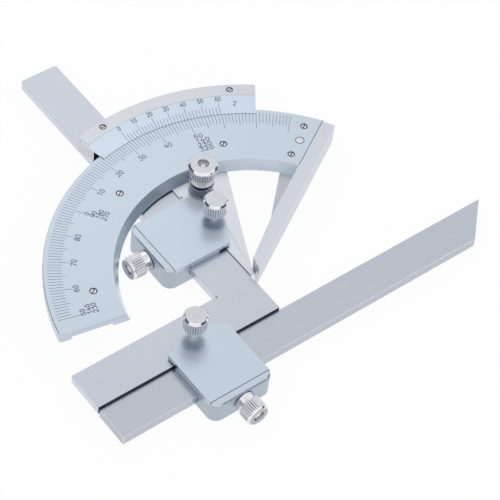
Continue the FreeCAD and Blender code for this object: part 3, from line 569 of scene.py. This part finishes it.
def ribbon(path, width, level, overlap):
    """A closed strip along a path, in millimetres, carried on past both ends by an overlap.

    Each point of the path gets a ring of four corners: half a width to the left and right of the
    path's direction, one depth below the surface level(x, y) and one lift above it. Four faces
    join each ring to the next, and one face closes each end.
    """
    ahead = np.gradient(path, axis=0)
    ahead /= np.linalg.norm(ahead, axis=1, keepdims=True)
    path = path.copy()
    path[0] -= ahead[0] * overlap
    path[-1] += ahead[-1] * overlap
    side = np.stack([-ahead[:, 1], ahead[:, 0]], axis=1) * (width / 2)
    rings = []
    for sign, lift in ((1, -INK_DEPTH), (-1, -INK_DEPTH), (-1, INK_LIFT), (1, INK_LIFT)):
        flat = path + side * sign
        rings.append(np.column_stack([flat, level(flat) + lift]))
    points = np.stack(rings, axis=1).reshape(-1, 3)
    count = len(path)
    ring = np.arange(count - 1)[:, None] * 4
    corner = np.arange(4)[None, :]
    following = (corner + 1) % 4
    quads = np.stack([ring + corner, ring + following, ring + 4 + following, ring + 4 + corner],
                     axis=-1).reshape(-1, 4)
    caps = np.array([[3, 2, 1, 0], [0, 1, 2, 3]])
    caps[1] += (count - 1) * 4
    return points, np.concatenate([quads, caps])


def inked(name, paths, width, level, body, overlap=0.0):
    """One piece made of many ribbons of the dark material, which serves both for filled lines and
    for painted shadow in gaps.
    """
    points = []
    quads = []
    total = 0
    for path in paths:
        strip, faces = ribbon(path, width, level, overlap)
        points.append(strip)
        quads.append(faces + total)
        total += len(strip)
    mesh = bpy.data.meshes.new(name)
    mesh.from_pydata(np.concatenate(points) * MM, [], np.concatenate(quads).tolist())
    turned_out(mesh)
    piece = set_out(name, mesh, [enamel_and_shade_fill])
    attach(piece, body)


def face_of(node):
    """A level for ribbons: the height of a node's highest face, at any points x and y."""
    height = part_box(node)[1][2] / MM
    return lambda flat: np.full(len(flat), height)


enamel_and_shade_fill = enamel("black_enamel_and_painted_shade", INK_AND_SHADE)
scale_level = face_of("main_scale")
lines = []
for mark in range(SCALE_FIRST, SCALE_LAST + 1):
    inner = LINE_INNER_UNIT
    if mark % 5 == 0:
        inner = LINE_INNER_FIVE
    if mark % 10 == 0:
        inner = LINE_INNER_TEN
    lines.append(polar(np.array([inner, LINE_OUTER]), SCALE_ZERO_ANGLE - mark))
inked("degree_lines", lines, LINE_WIDTH, scale_level, "main_scale")


# Numbers of the arc. A plain engraver's alphabet of single strokes, cut and filled as the lines
# are: straight runs and parts of ellipses in a box one high and about half as wide.

NUMBER_HEIGHT = 1.72
NUMBER_WIDTH = 1.13
NUMBER_ADVANCE = 0.72
DIGIT_WIDTH = 0.5
NUMBER_STROKE = 0.25
STROKE_OVERLAP = 0.06
NUMBER_ROWS = (57.9, 55.9, 54.0, 52.1)
SINGLE_MARKS = (-30, -20, -10, 10, 20, 30, 40)
BOW_POINTS = 18

# Some marks carry a stack of numbers, each a right angle more than the one above it: the mark, the
# first number, the rows, and the digits' width and start left of the mark.
STACK_HEIGHT = 1.5
STACKS = ((-40, 50, 3, 1.2, 0.3), (0, 0, 4, 1.2, 0.3), (50, 50, 4, 1.5, 0.7))


def bow(x, y, width, height, start, end):
    """Part of an ellipse about (x, y) with half axes width and height, between two angles."""
    angle = np.radians(np.linspace(start, end, BOW_POINTS))
    return np.column_stack([x + width * np.cos(angle), y + height * np.sin(angle)])


def run(*corners):
    """Straight strokes from each corner to the next."""
    return [np.array(ends, dtype=float) for ends in zip(corners, corners[1:])]


six = [bow(0.27, 0.31, 0.25, 0.31, 0, 360), bow(0.60, 0.33, 0.58, 0.68, 105, 180)]
DIGITS = {
    "0": [bow(0.27, 0.5, 0.25, 0.5, 0, 360)],
    "1": run((0.12, 0.80), (0.31, 1.0), (0.31, 0.0)),
    "2": [bow(0.26, 0.73, 0.24, 0.27, 165, -38)] + run((0.45, 0.56), (0.0, 0.0), (0.52, 0.0)),
    "3": run((0.05, 1.0), (0.48, 1.0), (0.24, 0.61)) + [bow(0.24, 0.31, 0.27, 0.31, 90, -150)],
    "4": run((0.28, 1.0), (0.0, 0.28), (0.54, 0.28)) + run((0.40, 0.58), (0.40, 0.0)),
    "5": run((0.47, 1.0), (0.11, 1.0), (0.06, 0.55)) + [bow(0.24, 0.31, 0.27, 0.31, 120, -145)],
    "6": six,
    "7": run((0.0, 1.0), (0.51, 1.0), (0.17, 0.0)),
    "8": [bow(0.27, 0.76, 0.20, 0.24, 0, 360), bow(0.27, 0.27, 0.25, 0.27, 0, 360)],
    "9": [np.array([0.54, 1.0]) - stroke for stroke in six],
    "'": run((0.14, 1.05), (0.08, 0.76)),
}


def written(text, radius, degrees, size=NUMBER_HEIGHT, wide=NUMBER_WIDTH, left=None):
    """The strokes of a number whose top points away from the arc's centre.

    A point of a digit's box goes forward, clockwise along the arc, by its share of the width and
    outward from the radius by its share of the size, less half. The number is centred on the
    angle, or starts at a distance left of it.
    """
    advance = NUMBER_ADVANCE * size * wide
    length = advance * (len(text) - 1) + DIGIT_WIDTH * size * wide
    start = -length / 2 if left is None else -left
    outward = polar(1.0, degrees)
    forward = np.array([outward[1], -outward[0]])
    strokes = []
    for place, digit in enumerate(text):
        for stroke in DIGITS[digit]:
            across = start + place * advance + stroke[:, :1] * size * wide
            height = radius + (stroke[:, 1:] - 0.5) * size
            strokes.append(across * forward + height * outward)
    return strokes


numbers = []
for mark in SINGLE_MARKS:
    text = str(mark if mark > 0 else 90 + mark)
    numbers += written(text, NUMBER_ROWS[0], SCALE_ZERO_ANGLE - mark)
for mark, first, count, wide, inset in STACKS:
    for row in range(count):
        numbers += written(str(first + 90 * row), NUMBER_ROWS[row], SCALE_ZERO_ANGLE - mark,
                           STACK_HEIGHT, wide, inset)
inked("degree_numbers", numbers, NUMBER_STROKE, scale_level, "main_scale",
      STROKE_OVERLAP)


# Painted shadow in fine gaps: a near-black ring round each screw head and round the dowel, and a
# near-black line on the joint between the end of the arc and the rib of the base blade.

GAP_WIDTH = 0.27
GAP_INSET = 0.05
RING_POINTS = 49
JOINT_WIDTH = 0.22
RIB_SIDE = 5.2
ARC_INNER = 45.8


def heads(node):
    """The middle and the radius of each fastener in a group, in millimetres.

    A fastener is one island of joined points; its middle is that of their box in x and y.
    """
    work = bmesh.new()
    work.from_mesh(frame["nodes"][node].data)
    bmesh.ops.remove_doubles(work, verts=work.verts, dist=WELD * MM)
    found = []
    for first in work.verts:
        if first.tag:
            continue
        first.tag = True
        island = [first]
        for vertex in island:
            for edge in vertex.link_edges:
                other = edge.other_vert(vertex)
                if not other.tag:
                    other.tag = True
                    island.append(other)
        places = np.array([vertex.co[:2] for vertex in island]) / MM
        low, high = places.min(axis=0), places.max(axis=0)
        found.append(((low + high) / 2, (high - low).max() / 2))
    work.free()
    return found


def gap_rings(*nodes):
    """Closed circles just inside the rims of the fasteners' heads."""
    turn = np.linspace(0, 360, RING_POINTS)
    return [middle + polar(radius - GAP_INSET, turn)
            for node in nodes for middle, radius in heads(node)]


inked("head_gap_shade", gap_rings("base_screws", "rack_screws", "base_dowel"), GAP_WIDTH, scale_level,
      "main_scale")

arc_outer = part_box("main_scale")[1][1] / MM
rib_joint_shade = np.array([[math.sqrt(radius ** 2 - RIB_SIDE ** 2), RIB_SIDE]
                      for radius in (ARC_INNER, arc_outer)])
inked("rib_joint_shade", [rib_joint_shade], JOINT_WIDTH, scale_level, "main_scale")


# Carrier. A ground plate under the arc with a curved rim outside it; both keep the cross grain of
# the surface grinder. Two shoes on the plate run in the arc's channel.

READING = 30 + 40 / 60
CARRIER_GRAIN = -68
CARRIER_GREY = (0.655, 0.672, 0.725, 1)
CARRIER_GLOSS = 0.27
RIM_TONE = 0.92
RIM_EASE = 0.18

carrier_steel = ground_steel("carrier_steel", CARRIER_GRAIN, 1.0, CARRIER_GREY, CARRIER_GLOSS)
eased("carrier_plate", "carrier_sector", "carrier", [carrier_steel, edge_highlight_steel],
      edge=1)
rim_steel = ground_steel("rim_steel", CARRIER_GRAIN, RIM_TONE, CARRIER_GREY, CARRIER_GLOSS)
eased("rim_block", "rim", "carrier", [rim_steel, edge_highlight_steel], RIM_EASE, edge=1)
dress("guide_shoes", rack_steel)
dress("shoe_screws", small_steel)
dress("rim_screws", small_steel)


# Vernier. A thin satin plate that slopes up from the arc's face to the rim, with its own thirty
# divisions over twenty-nine degrees, held to the rim by two slotted screws. Its underside is let
# down by VERNIER_SAG here, which leaves only a hair's gap above the arc.

VERNIER_DIVISIONS = 30
VERNIER_SPAN = 29
VERNIER_LINE = 2.4
VERNIER_LONG_LINE = 3.96
VERNIER_LINE_GAP = 0.02
VERNIER_NUMBER_HEIGHT = 1.45
VERNIER_NUMBER_WIDTH = 1.0
VERNIER_STROKE = 0.22
VERNIER_NUMBERS = 70.9
VERNIER_EDGE = 0.23
VERNIER_REACH = (65.6, 71.95)
UNIT_PLACE = (69.0, 59.7)
VERNIER_LIGHT = 1.27
VERNIER_EASE = 0.05
VERNIER_SAG = 0.09
LOWEST_BAND = 0.02

# The vernier's satin is a lighter copy of the arc's: painted light.
lit_vernier_satin = satin_chrome("lit_vernier_satin", VERNIER_LIGHT)
plate = eased("vernier_scale", "vernier_plate", "carrier",
              [lit_vernier_satin, edge_highlight_steel], VERNIER_EASE, choose=inner_wall, edge=1)
places = np.empty(len(plate.data.vertices) * 3)
plate.data.vertices.foreach_get("co", places)
heights = places[2::3]
heights[heights < heights.min() + LOWEST_BAND * MM] -= VERNIER_SAG * MM
plate.data.vertices.foreach_set("co", places)
eased("vernier_screws", "vernier_screw_heads", "carrier",
      [small_steel, painted_shade_steel], SCREW_RIM, choose=recessed, edge=1)
vernier_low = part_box("vernier_scale")[0][2] / MM + VERNIER_EDGE
vernier_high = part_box("vernier_scale")[1][2] / MM


def vernier_level(flat):
    """The cone of the vernier's face: its level rises evenly with the radius."""
    radius = np.linalg.norm(flat, axis=1)
    return np.interp(radius, VERNIER_REACH, (vernier_low, vernier_high))


lines = []
numbers = written("2'", UNIT_PLACE[0], UNIT_PLACE[1] - READING, VERNIER_NUMBER_HEIGHT,
                  VERNIER_NUMBER_WIDTH)
for mark in range(VERNIER_DIVISIONS + 1):
    degrees = SCALE_ZERO_ANGLE - READING - mark * VERNIER_SPAN / VERNIER_DIVISIONS
    length = VERNIER_LINE
    if mark % 5 == 0:
        length = VERNIER_LONG_LINE
        numbers += written(str(2 * mark), VERNIER_NUMBERS, degrees, VERNIER_NUMBER_HEIGHT,
                           VERNIER_NUMBER_WIDTH)
    lines.append(polar(VERNIER_REACH[0] + np.array([VERNIER_LINE_GAP, length]), degrees))
inked("vernier_lines", lines, LINE_WIDTH, vernier_level, "carrier")
inked("vernier_numbers", numbers, VERNIER_STROKE, vernier_level, "carrier",
      STROKE_OVERLAP)
# Painted shadow: near-black rings in the gaps round the vernier's screw heads.
inked("vernier_head_gap_shade", gap_rings("vernier_screws"), GAP_WIDTH, face_of("rim_block"),
      "carrier")


# Brake. A tall tapered nut, turned and straight-knurled, on a stud with a domed end; below it the
# coned washer bears on the sloped wall of the arc.

GROOVE_SHARE = 0.35
GROOVE_POWER = 1.6
FLUTE_STEPS = 8
CUT_SHARE = 0.6
END_FACE = 0.97
BORE_FACE = -0.3
TURNED_WELD = 0.0005
TURNED_SHARP = math.radians(38)
ROUND_POINTS = 5


def rounded(corners, closed=False):
    """A profile of (radius, height, rounding) corners.

    Each corner is rounded by a few points of a parabola, from a rounding before it to a rounding
    after it: at a share s of it, the two ends and the corner between them weigh (1 - s) squared,
    s squared and 2s(1 - s).
    """
    points = []
    count = len(corners)
    for i in range(count):
        here = np.array(corners[i][:2], dtype=float)
        rounding = corners[i][2]
        if rounding == 0 or (not closed and i in (0, count - 1)):
            points.append(here)
            continue
        back = np.array(corners[i - 1][:2]) - here
        ahead = np.array(corners[(i + 1) % count][:2]) - here
        back /= np.linalg.norm(back)
        ahead /= np.linalg.norm(ahead)
        share = np.linspace(0, 1, ROUND_POINTS)[:, None]
        start = here + back * rounding
        end = here + ahead * rounding
        points.extend((1 - share) ** 2 * start + 2 * share * (1 - share) * here + share ** 2 * end)
    if closed:
        points.append(points[0])
    return np.array(points)


def lathe(name, profile, around=96, flutes=0, depth=0.0, band=(0, 0), run_out=0.15):
    """A turned mesh about the Z axis, in millimetres.

    The radius at height z and angle t is the profile's radius less depth times the groove shape
    (half of one plus the cosine of flutes times t, to the power GROOVE_POWER) times a window over
    z that is one inside the band and falls to nought over run_out at both ends. Only what lies
    farther out than CUT_SHARE of the greatest radius is cut. Faces in the grooves get material 2,
    faces square to the axis material 1, and the other sides material 0; faces of a bore, which
    look at the axis, count as grooves.
    """
    low, high = band
    if flutes:
        around = flutes * FLUTE_STEPS
        steps = np.linalg.norm(np.diff(profile, axis=0), axis=1)
        lengths = np.concatenate([[0], np.cumsum(steps)])
        wanted = np.unique(np.concatenate([lengths, np.arange(0, lengths[-1], run_out)]))
        profile = np.column_stack([np.interp(wanted, lengths, profile[:, i]) for i in (0, 1)])
    turn = np.arange(around) * 2 * math.pi / around
    groove = (0.5 + 0.5 * np.cos(flutes * turn)) ** GROOVE_POWER
    height = profile[:, 1]
    window = np.clip(np.minimum(height - low, high - height) / run_out, 0, 1)
    outer = profile[:, 0] > CUT_SHARE * profile[:, 0].max()
    radius = profile[:, :1] - depth * (window * outer)[:, None] * groove[None, :]
    grid = np.stack([radius * np.cos(turn), radius * np.sin(turn),
                     np.repeat(height[:, None], around, axis=1)], axis=-1)
    row = np.arange(len(profile) - 1)[:, None] * around
    column = np.arange(around)[None, :]
    following = (column + 1) % around
    quads = np.stack([row + column, row + following, row + around + following,
                      row + around + column], axis=-1).reshape(-1, 4)
    mesh = bpy.data.meshes.new(name)
    mesh.from_pydata(grid.reshape(-1, 3) * MM, [], quads.tolist())
    turned_out(mesh, TURNED_WELD)
    mesh.shade_smooth()
    mesh.set_sharp_from_angle(angle=TURNED_SHARP)
    centres, normals = face_table(mesh)
    angle = np.arctan2(centres[:, 1], centres[:, 0])
    inside = (centres[:, 2] > low) & (centres[:, 2] < high)
    sunk = inside & (flutes > 0) & (np.cos(flutes * angle) > GROOVE_SHARE)
    bore = np.sum(centres[:, :2] * normals[:, :2], axis=1) < BORE_FACE
    # Material 2, in the grooves and bores, is painted shade.
    which = np.where(np.abs(normals[:, 2]) > END_FACE, 1, np.where(sunk | bore, 2, 0))
    mesh.polygons.foreach_set("material_index", which.astype(np.int32))
    return mesh


def along_axis(axis, place):
    """The matrix that carries the Z axis to an axis through a place."""
    turn = Vector(Z_AXIS).rotation_difference(Vector(axis))
    return Matrix.Translation(Vector(place)) @ turn.to_matrix().to_4x4()


def fitted(mesh, name, matrix, materials, body, node):
    """Put a turned mesh in its place on a body, instead of a CAD node."""
    mesh.transform(matrix)
    piece = set_out(name, mesh, materials)
    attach(piece, body)
    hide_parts(node)


LIT_SIDE_COLOUR = (0.86, 0.85, 0.87, 1)
FACED_COLOUR = (0.60, 0.61, 0.645, 1)
GROOVE_SHADE_COLOUR = (0.60, 0.61, 0.66, 1)
WASHER_SHADE_COLOUR = (0.34, 0.37, 0.45, 1)


def knob_steels(name, place, axis=Z_AXIS, face=FACED_COLOUR):
    """Steel for a knob's sides, painted bright as a painted highlight; faced steel for its ends; a
    darker steel for its grooves and bores, which is painted shade.
    """
    return [turned_steel(name + "_side", place, axis, LIT_SIDE_COLOUR, roughness=0.13),
            turned_steel(name + "_face", place, axis, face, roughness=0.24, stained=0.02),
            turned_steel(name + "_groove", place, axis, GROOVE_SHADE_COLOUR, roughness=0.30)]


def foot_of(node):
    """The middle of the lowest face of a node's box, in metres."""
    low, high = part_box(node)
    return Vector(((low[0] + high[0]) / 2, (low[1] + high[1]) / 2, low[2]))


BRAKE_FLUTES = 34
BRAKE_GROOVE = 0.34
BRAKE_BAND = (3.65, 7.35)
nut_low, nut_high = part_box("brake_nut")
nut_height = (nut_high[2] - nut_low[2]) / MM
nut_place = foot_of("brake_nut")
nut_steel = knob_steels("brake_nut_steel", nut_place)
profile = rounded([
    (1.25, 0.0, 0),
    (1.75, 0.0, 0.1),
    (1.75, 0.35, 0.1),
    (3.10, 0.40, 0.3),
    (3.80, 0.95, 0.35),
    (4.12, 3.5, 0.1),
    (4.16, 3.65, 0.1),
    (4.72, 7.35, 0.08),
    (4.68, 7.5, 0.05),
    (4.90, 7.62, 0.08),
    (4.90, 8.0, 0.1),
    (4.25, nut_height - 0.1, 0.08),
    (4.10, nut_height, 0.05),
    (1.8, nut_height, 0.12),
    (1.7, nut_height - 1.5, 0.1),
    (1.25, nut_height - 1.5, 0),
], closed=True)
mesh = lathe("fluted_brake_nut", profile, flutes=BRAKE_FLUTES, depth=BRAKE_GROOVE,
             band=BRAKE_BAND)
fitted(mesh, "fluted_brake_nut", Matrix.Translation(nut_place), nut_steel, "brake_nut",
       "brake_nut")

stud_low, stud_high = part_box("brake_stud")
stud_height = (stud_high[2] - stud_low[2]) / MM
profile = rounded([
    (0, 0, 0),
    (2.2, 0, 0.08),
    (2.2, 0.6, 0.05),
    (1.2, 0.6, 0.05),
    (1.2, stud_height - 0.75, 0.3),
    (0.85, stud_height - 0.2, 0.3),
    (0, stud_height, 0),
])
fitted(lathe("domed_brake_stud", profile, around=64), "domed_brake_stud",
       Matrix.Translation(foot_of("brake_stud")), nut_steel, "carrier", "brake_stud")
# The coned washer's dark steel is painted shade under the nut.
shaded_washer_steel = turned_steel("washer_painted_shade", nut_place, colour=WASHER_SHADE_COLOUR, roughness=0.25)
eased("brake_washer", "coned_washer", "carrier", [shaded_washer_steel])


# Fine adjustment. A flat fluted knob behind the carrier, pressed on the shaft of a small pinion
# that turns in a flanged brass bush.

KNOB_FLUTES = 60
KNOB_GROOVE = 0.28
KNOB_BAND = (0.75, 0.65)
knob_low, knob_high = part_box("fine_adjust_knob")
knob_height = (knob_high[2] - knob_low[2]) / MM
knob_place = foot_of("fine_adjust_knob")
knob_steel = knob_steels("fine_knob_steel", knob_place)
profile = rounded([
    (0, 0.35, 0),
    (5.6, 0.35, 0.2),
    (6.2, 0.0, 0.2),
    (7.3, 0.0, 0.25),
    (8.0, 0.7, 0.12),
    (8.0, knob_height - 0.6, 0.12),
    (7.45, knob_height, 0.12),
    (1.3, knob_height, 0.05),
    (1.3, knob_height - 3.2, 0),
    (0, knob_height - 3.2, 0),
])
mesh = lathe("fluted_fine_knob", profile, flutes=KNOB_FLUTES, depth=KNOB_GROOVE,
             band=(KNOB_BAND[0], knob_height - KNOB_BAND[1]))
fitted(mesh, "fluted_fine_knob", Matrix.Translation(knob_place), knob_steel, "fine_adjust",
       "fine_adjust_knob")
dress("fine_adjust_pinion", knob_steel[0])

BRASS = (0.80, 0.62, 0.30, 1)
brass = turned_steel("turned_brass", knob_place, colour=BRASS, roughness=0.24)
dress("pinion_bush", brass)


# Square. Two legs in one hardened steel piece, ground along the long leg. The free end of that leg
# has its two outermost corners rounded; the edge beside the straight blade is painted near-black
# as shade, and the long leg's outer side is painted lighter: painted light.

SQUARE_GREY = (0.550, 0.580, 0.650, 1)
STEP_LEVEL = -12.3
SIDE_LIGHT_TONE = 1.18
CORNER_ROUND = 1.1
CORNER_STEPS = 4
NEAR = 0.1
FLAT_ANGLE = math.radians(1)
across = np.array((math.sin(math.radians(READING)), math.cos(math.radians(READING))))
along_blade = np.array((across[1], -across[0]))


def square_faces(centres, normals):
    """Two for the short leg's edge beside the straight blade, painted shade, three for the long
    leg's outer side, painted lighter, nought elsewhere."""
    at_edge = np.abs(centres[:, :2] @ across - STEP_LEVEL) < NEAR
    beside_blade = at_edge & (normals[:, :2] @ across < -FACING)
    outer_side = normals[:, :2] @ along_blade < -FACING
    return np.where(beside_blade, 2, np.where(outer_side, 3, 0))


square_steel = ground_steel("square_steel", 90 - READING, colour=SQUARE_GREY)
lit_square_side = ground_steel("lit_square_side", 90 - READING, SIDE_LIGHT_TONE, SQUARE_GREY)
legs = eased("square", "square_legs", "square",
             [square_steel, edge_highlight_steel, painted_shade_steel, lit_square_side], choose=square_faces)

# The corners are the end face's upright edges that lie farthest to either side.
work = bmesh.new()
work.from_mesh(legs.data)
bmesh.ops.dissolve_limit(work, angle_limit=FLAT_ANGLE, verts=work.verts, edges=work.edges,
                         delimit={"MATERIAL"})
far_end = max(vertex.co.xy.dot(across) for vertex in work.verts)
end_edges = [edge for edge in work.edges
             if min(vertex.co.xy.dot(across) for vertex in edge.verts) > far_end - NEAR * MM]
reaches = [edge.verts[0].co.xy.dot(along_blade) for edge in end_edges]
inmost = min(reaches) + NEAR * MM
outmost = max(reaches) - NEAR * MM
corners = [edge for edge, reach in zip(end_edges, reaches)
           if abs(edge.verts[0].co.z - edge.verts[1].co.z) > CORNER_ROUND * MM
           and not inmost < reach < outmost]
bmesh.ops.bevel(work, geom=corners, offset=CORNER_ROUND * MM, offset_type="OFFSET",
                segments=CORNER_STEPS, profile=0.5, affect="EDGES")
work.to_mesh(legs.data)
work.free()


# Straight blade. A plain hardened steel bar, ground lengthwise, with one end cut at forty-five
# degrees. The second clamp holds it across the square.

blade_steel = ground_steel("blade_steel", -READING)
eased("straight_blade", "long_blade", "straight_blade",
      [blade_steel, edge_highlight_steel], edge=1)


# Clamps. Each has a satin body and lid, a fluted thumbscrew over a brass pad, and a draw bolt
# whose fluted nut pulls the wrapped leg or blade against the body.

CLAMP_EASE = 0.08
JAW_SIDE_SHADE = 0.78
WALL_SLOPE = 0.3
SEAM_INSET = 6.25
SEAM_REACH = 0.15
SEAM_HALF = 10.9
SEAM_WIDTH = 0.24
THUMB_FLUTES = 30
THUMB_GROOVE = 0.30
THUMB_BAND = (0.35, 1.15)
NUT_FLUTES = 30
NUT_GROOVE = 0.30
NUT_BAND = (-0.85, 2.85)
NUT_LENGTH = 7.3
BOLT_EASE = 0.2

# The clamps differ a little: the second one's thumbscrew stands a millimetre higher than its CAD
# node, and the end of its draw nut has a lighter face.
THUMB_LIFT = {"1": 0.0, "2": 1.0}
THUMB_HEAD = {"1": 6.2, "2": 5.9}
DRAW_FACE = {"1": (0.27, 0.30, 0.38, 1), "2": (0.44, 0.46, 0.51, 1)}


def clamp_faces(axis, seam, wall):
    """A choice of a jaw's or lid's faces: two for the seam between them, painted near-black as
    shade, wall for the other upright walls, nought elsewhere.

    The seam's walls are square to the draw bolt's axis, at the seam's distance along it.
    """
    def choose(centres, normals):
        at_seam = np.abs(centres @ axis - seam) < SEAM_REACH
        walls = np.where(np.abs(normals[:, 2]) < WALL_SLOPE, wall, 0)
        return np.where(at_seam & (np.abs(normals @ axis) > FACING), 2, walls)
    return choose


def thumbscrew_profile(height, head):
    """Flat head with a polished bevel, a fluted band, a chamfered foot and a plain stem."""
    foot = height - head
    return rounded([
        (0, 0, 0),
        (1.35, 0, 0.05),
        (1.45, 0.15, 0.05),
        (1.45, foot, 0.05),
        (3.35, foot, 0.08),
        (3.85, foot + 0.5, 0.08),
        (3.85, height - 1.15, 0.06),
        (3.70, height - 1.05, 0.05),
        (3.92, height - 0.90, 0.08),
        (3.35, height - 0.1, 0.1),
        (3.22, height, 0.05),
        (0, height, 0),
    ])


def draw_nut_profile(length):
    """Smooth collar, a fluted grip, a polished bevel and a recess round the bolt's end."""
    half = length / 2
    return rounded([
        (1.55, -half, 0),
        (3.35, -half, 0.15),
        (3.6, 0.3 - half, 0.15),
        (3.6, 2.1 - half, 0.12),
        (3.35, 2.25 - half, 0.05),
        (3.35, 2.45 - half, 0.05),
        (3.9, 2.75 - half, 0.1),
        (3.9, half - 0.75, 0.05),
        (3.72, half - 0.68, 0.04),
        (3.85, half - 0.6, 0.05),
        (3.35, half, 0.12),
        (1.78, half, 0.08),
        (1.72, half - 1.0, 0.05),
        (1.55, half - 1.0, 0),
    ], closed=True)


STRIP_LEVELS = {"1": (6.22, 7.16), "2": (5.02, 6.56)}
STRIP_REACH = (0.15, 11.6)
STRIP_HALF = 11.1
NUT_MIDDLE = 12.0


def packing(clamp, outward, nut_place, low, high):
    """The strip under the lid, over the leg or blade that it covers, between two levels.

    A box whose corners lie at the two distances of STRIP_REACH inward of the clamp's middle,
    which is NUT_MIDDLE from the draw nut, and half a width to each side of the bolt's axis.
    """
    inward = -outward
    sideways = Vector((-outward.y, outward.x, 0))
    origin = nut_place / MM + inward * NUT_MIDDLE
    corners = []
    for level in (low, high):
        for along, side in ((0, -1), (1, -1), (1, 1), (0, 1)):
            spot = origin + inward * STRIP_REACH[along] + sideways * (side * STRIP_HALF)
            corners.append((spot.x * MM, spot.y * MM, level * MM))
    mesh = bpy.data.meshes.new(clamp + "_packing_strip")
    mesh.from_pydata(corners, [], [(0, 1, 2, 3), (4, 5, 6, 7), (0, 1, 5, 4), (1, 2, 6, 5),
                                   (2, 3, 7, 6), (3, 0, 4, 7)])
    turned_out(mesh)
    piece = set_out(clamp + "_packing_strip", mesh, [satin])
    ease_edges(piece, EDGE_EASE)
    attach(piece, clamp)


joints = {joint["name"]: joint for joint in frame["record"]["behaviour"]["joints"]}
# The jaws' upright walls take a darker copy of the satin, and the seam between jaw and lid gets
# near-black walls: painted shade.
shaded_jaw_side = satin_chrome("shaded_jaw_side", JAW_SIDE_SHADE)
for number in ("1", "2"):
    clamp = "clamp_" + number
    outward = Vector(joints[clamp + "_draw_nut_turn"]["axis"])
    nut_place = Vector(joints[clamp + "_draw_nut_turn"]["pos_m"])
    seam = nut_place.dot(outward) / MM - SEAM_INSET

    eased(clamp + "_body", clamp + "_jaw", clamp,
          [satin, edge_highlight_steel, painted_shade_steel, shaded_jaw_side], CLAMP_EASE,
          choose=clamp_faces(np.array(outward), seam, 3), edge=1)
    eased(clamp + "_cover", clamp + "_lid", clamp,
          [satin, edge_highlight_steel, painted_shade_steel], CLAMP_EASE,
          choose=clamp_faces(np.array(outward), seam, 0), edge=1)
    dress(clamp + "_cover_screws", small_steel)
    dress(clamp + "_pressure_pad", brass)

    middle = nut_place / MM - outward * SEAM_INSET
    half_seam = Vector((-outward.y, outward.x, 0)) * SEAM_HALF
    seam_path = np.array([(middle - half_seam).xy, (middle + half_seam).xy])
    # A near-black ribbon along the seam between jaw and lid: painted shadow.
    inked(clamp + "_seam_shade", [seam_path], SEAM_WIDTH, face_of(clamp + "_cover"), clamp)
    packing(clamp, outward, nut_place, *STRIP_LEVELS[number])

    low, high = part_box(clamp + "_thumbscrew")
    height = (high[2] - low[2]) / MM + THUMB_LIFT[number]
    head = THUMB_HEAD[number]
    foot = foot_of(clamp + "_thumbscrew")
    thumb_steel = knob_steels(clamp + "_thumb_steel", foot)
    mesh = lathe(clamp + "_fluted_thumbscrew", thumbscrew_profile(height, head),
                 flutes=THUMB_FLUTES, depth=THUMB_GROOVE,
                 band=(height - head + THUMB_BAND[0], height - THUMB_BAND[1]))
    fitted(mesh, clamp + "_fluted_thumbscrew", Matrix.Translation(foot), thumb_steel,
           clamp + "_thumbscrew", clamp + "_thumbscrew")

    draw_steel = knob_steels(clamp + "_draw_steel", nut_place, outward, DRAW_FACE[number])
    mesh = lathe(clamp + "_fluted_nut", draw_nut_profile(NUT_LENGTH), flutes=NUT_FLUTES,
                 depth=NUT_GROOVE, band=NUT_BAND)
    fitted(mesh, clamp + "_fluted_nut", along_axis(outward, nut_place), draw_steel,
           clamp + "_draw_nut", clamp + "_draw_nut")
    eased(clamp + "_draw_bolt", clamp + "_hooked_bolt", clamp, draw_steel[:1],
          BOLT_EASE)
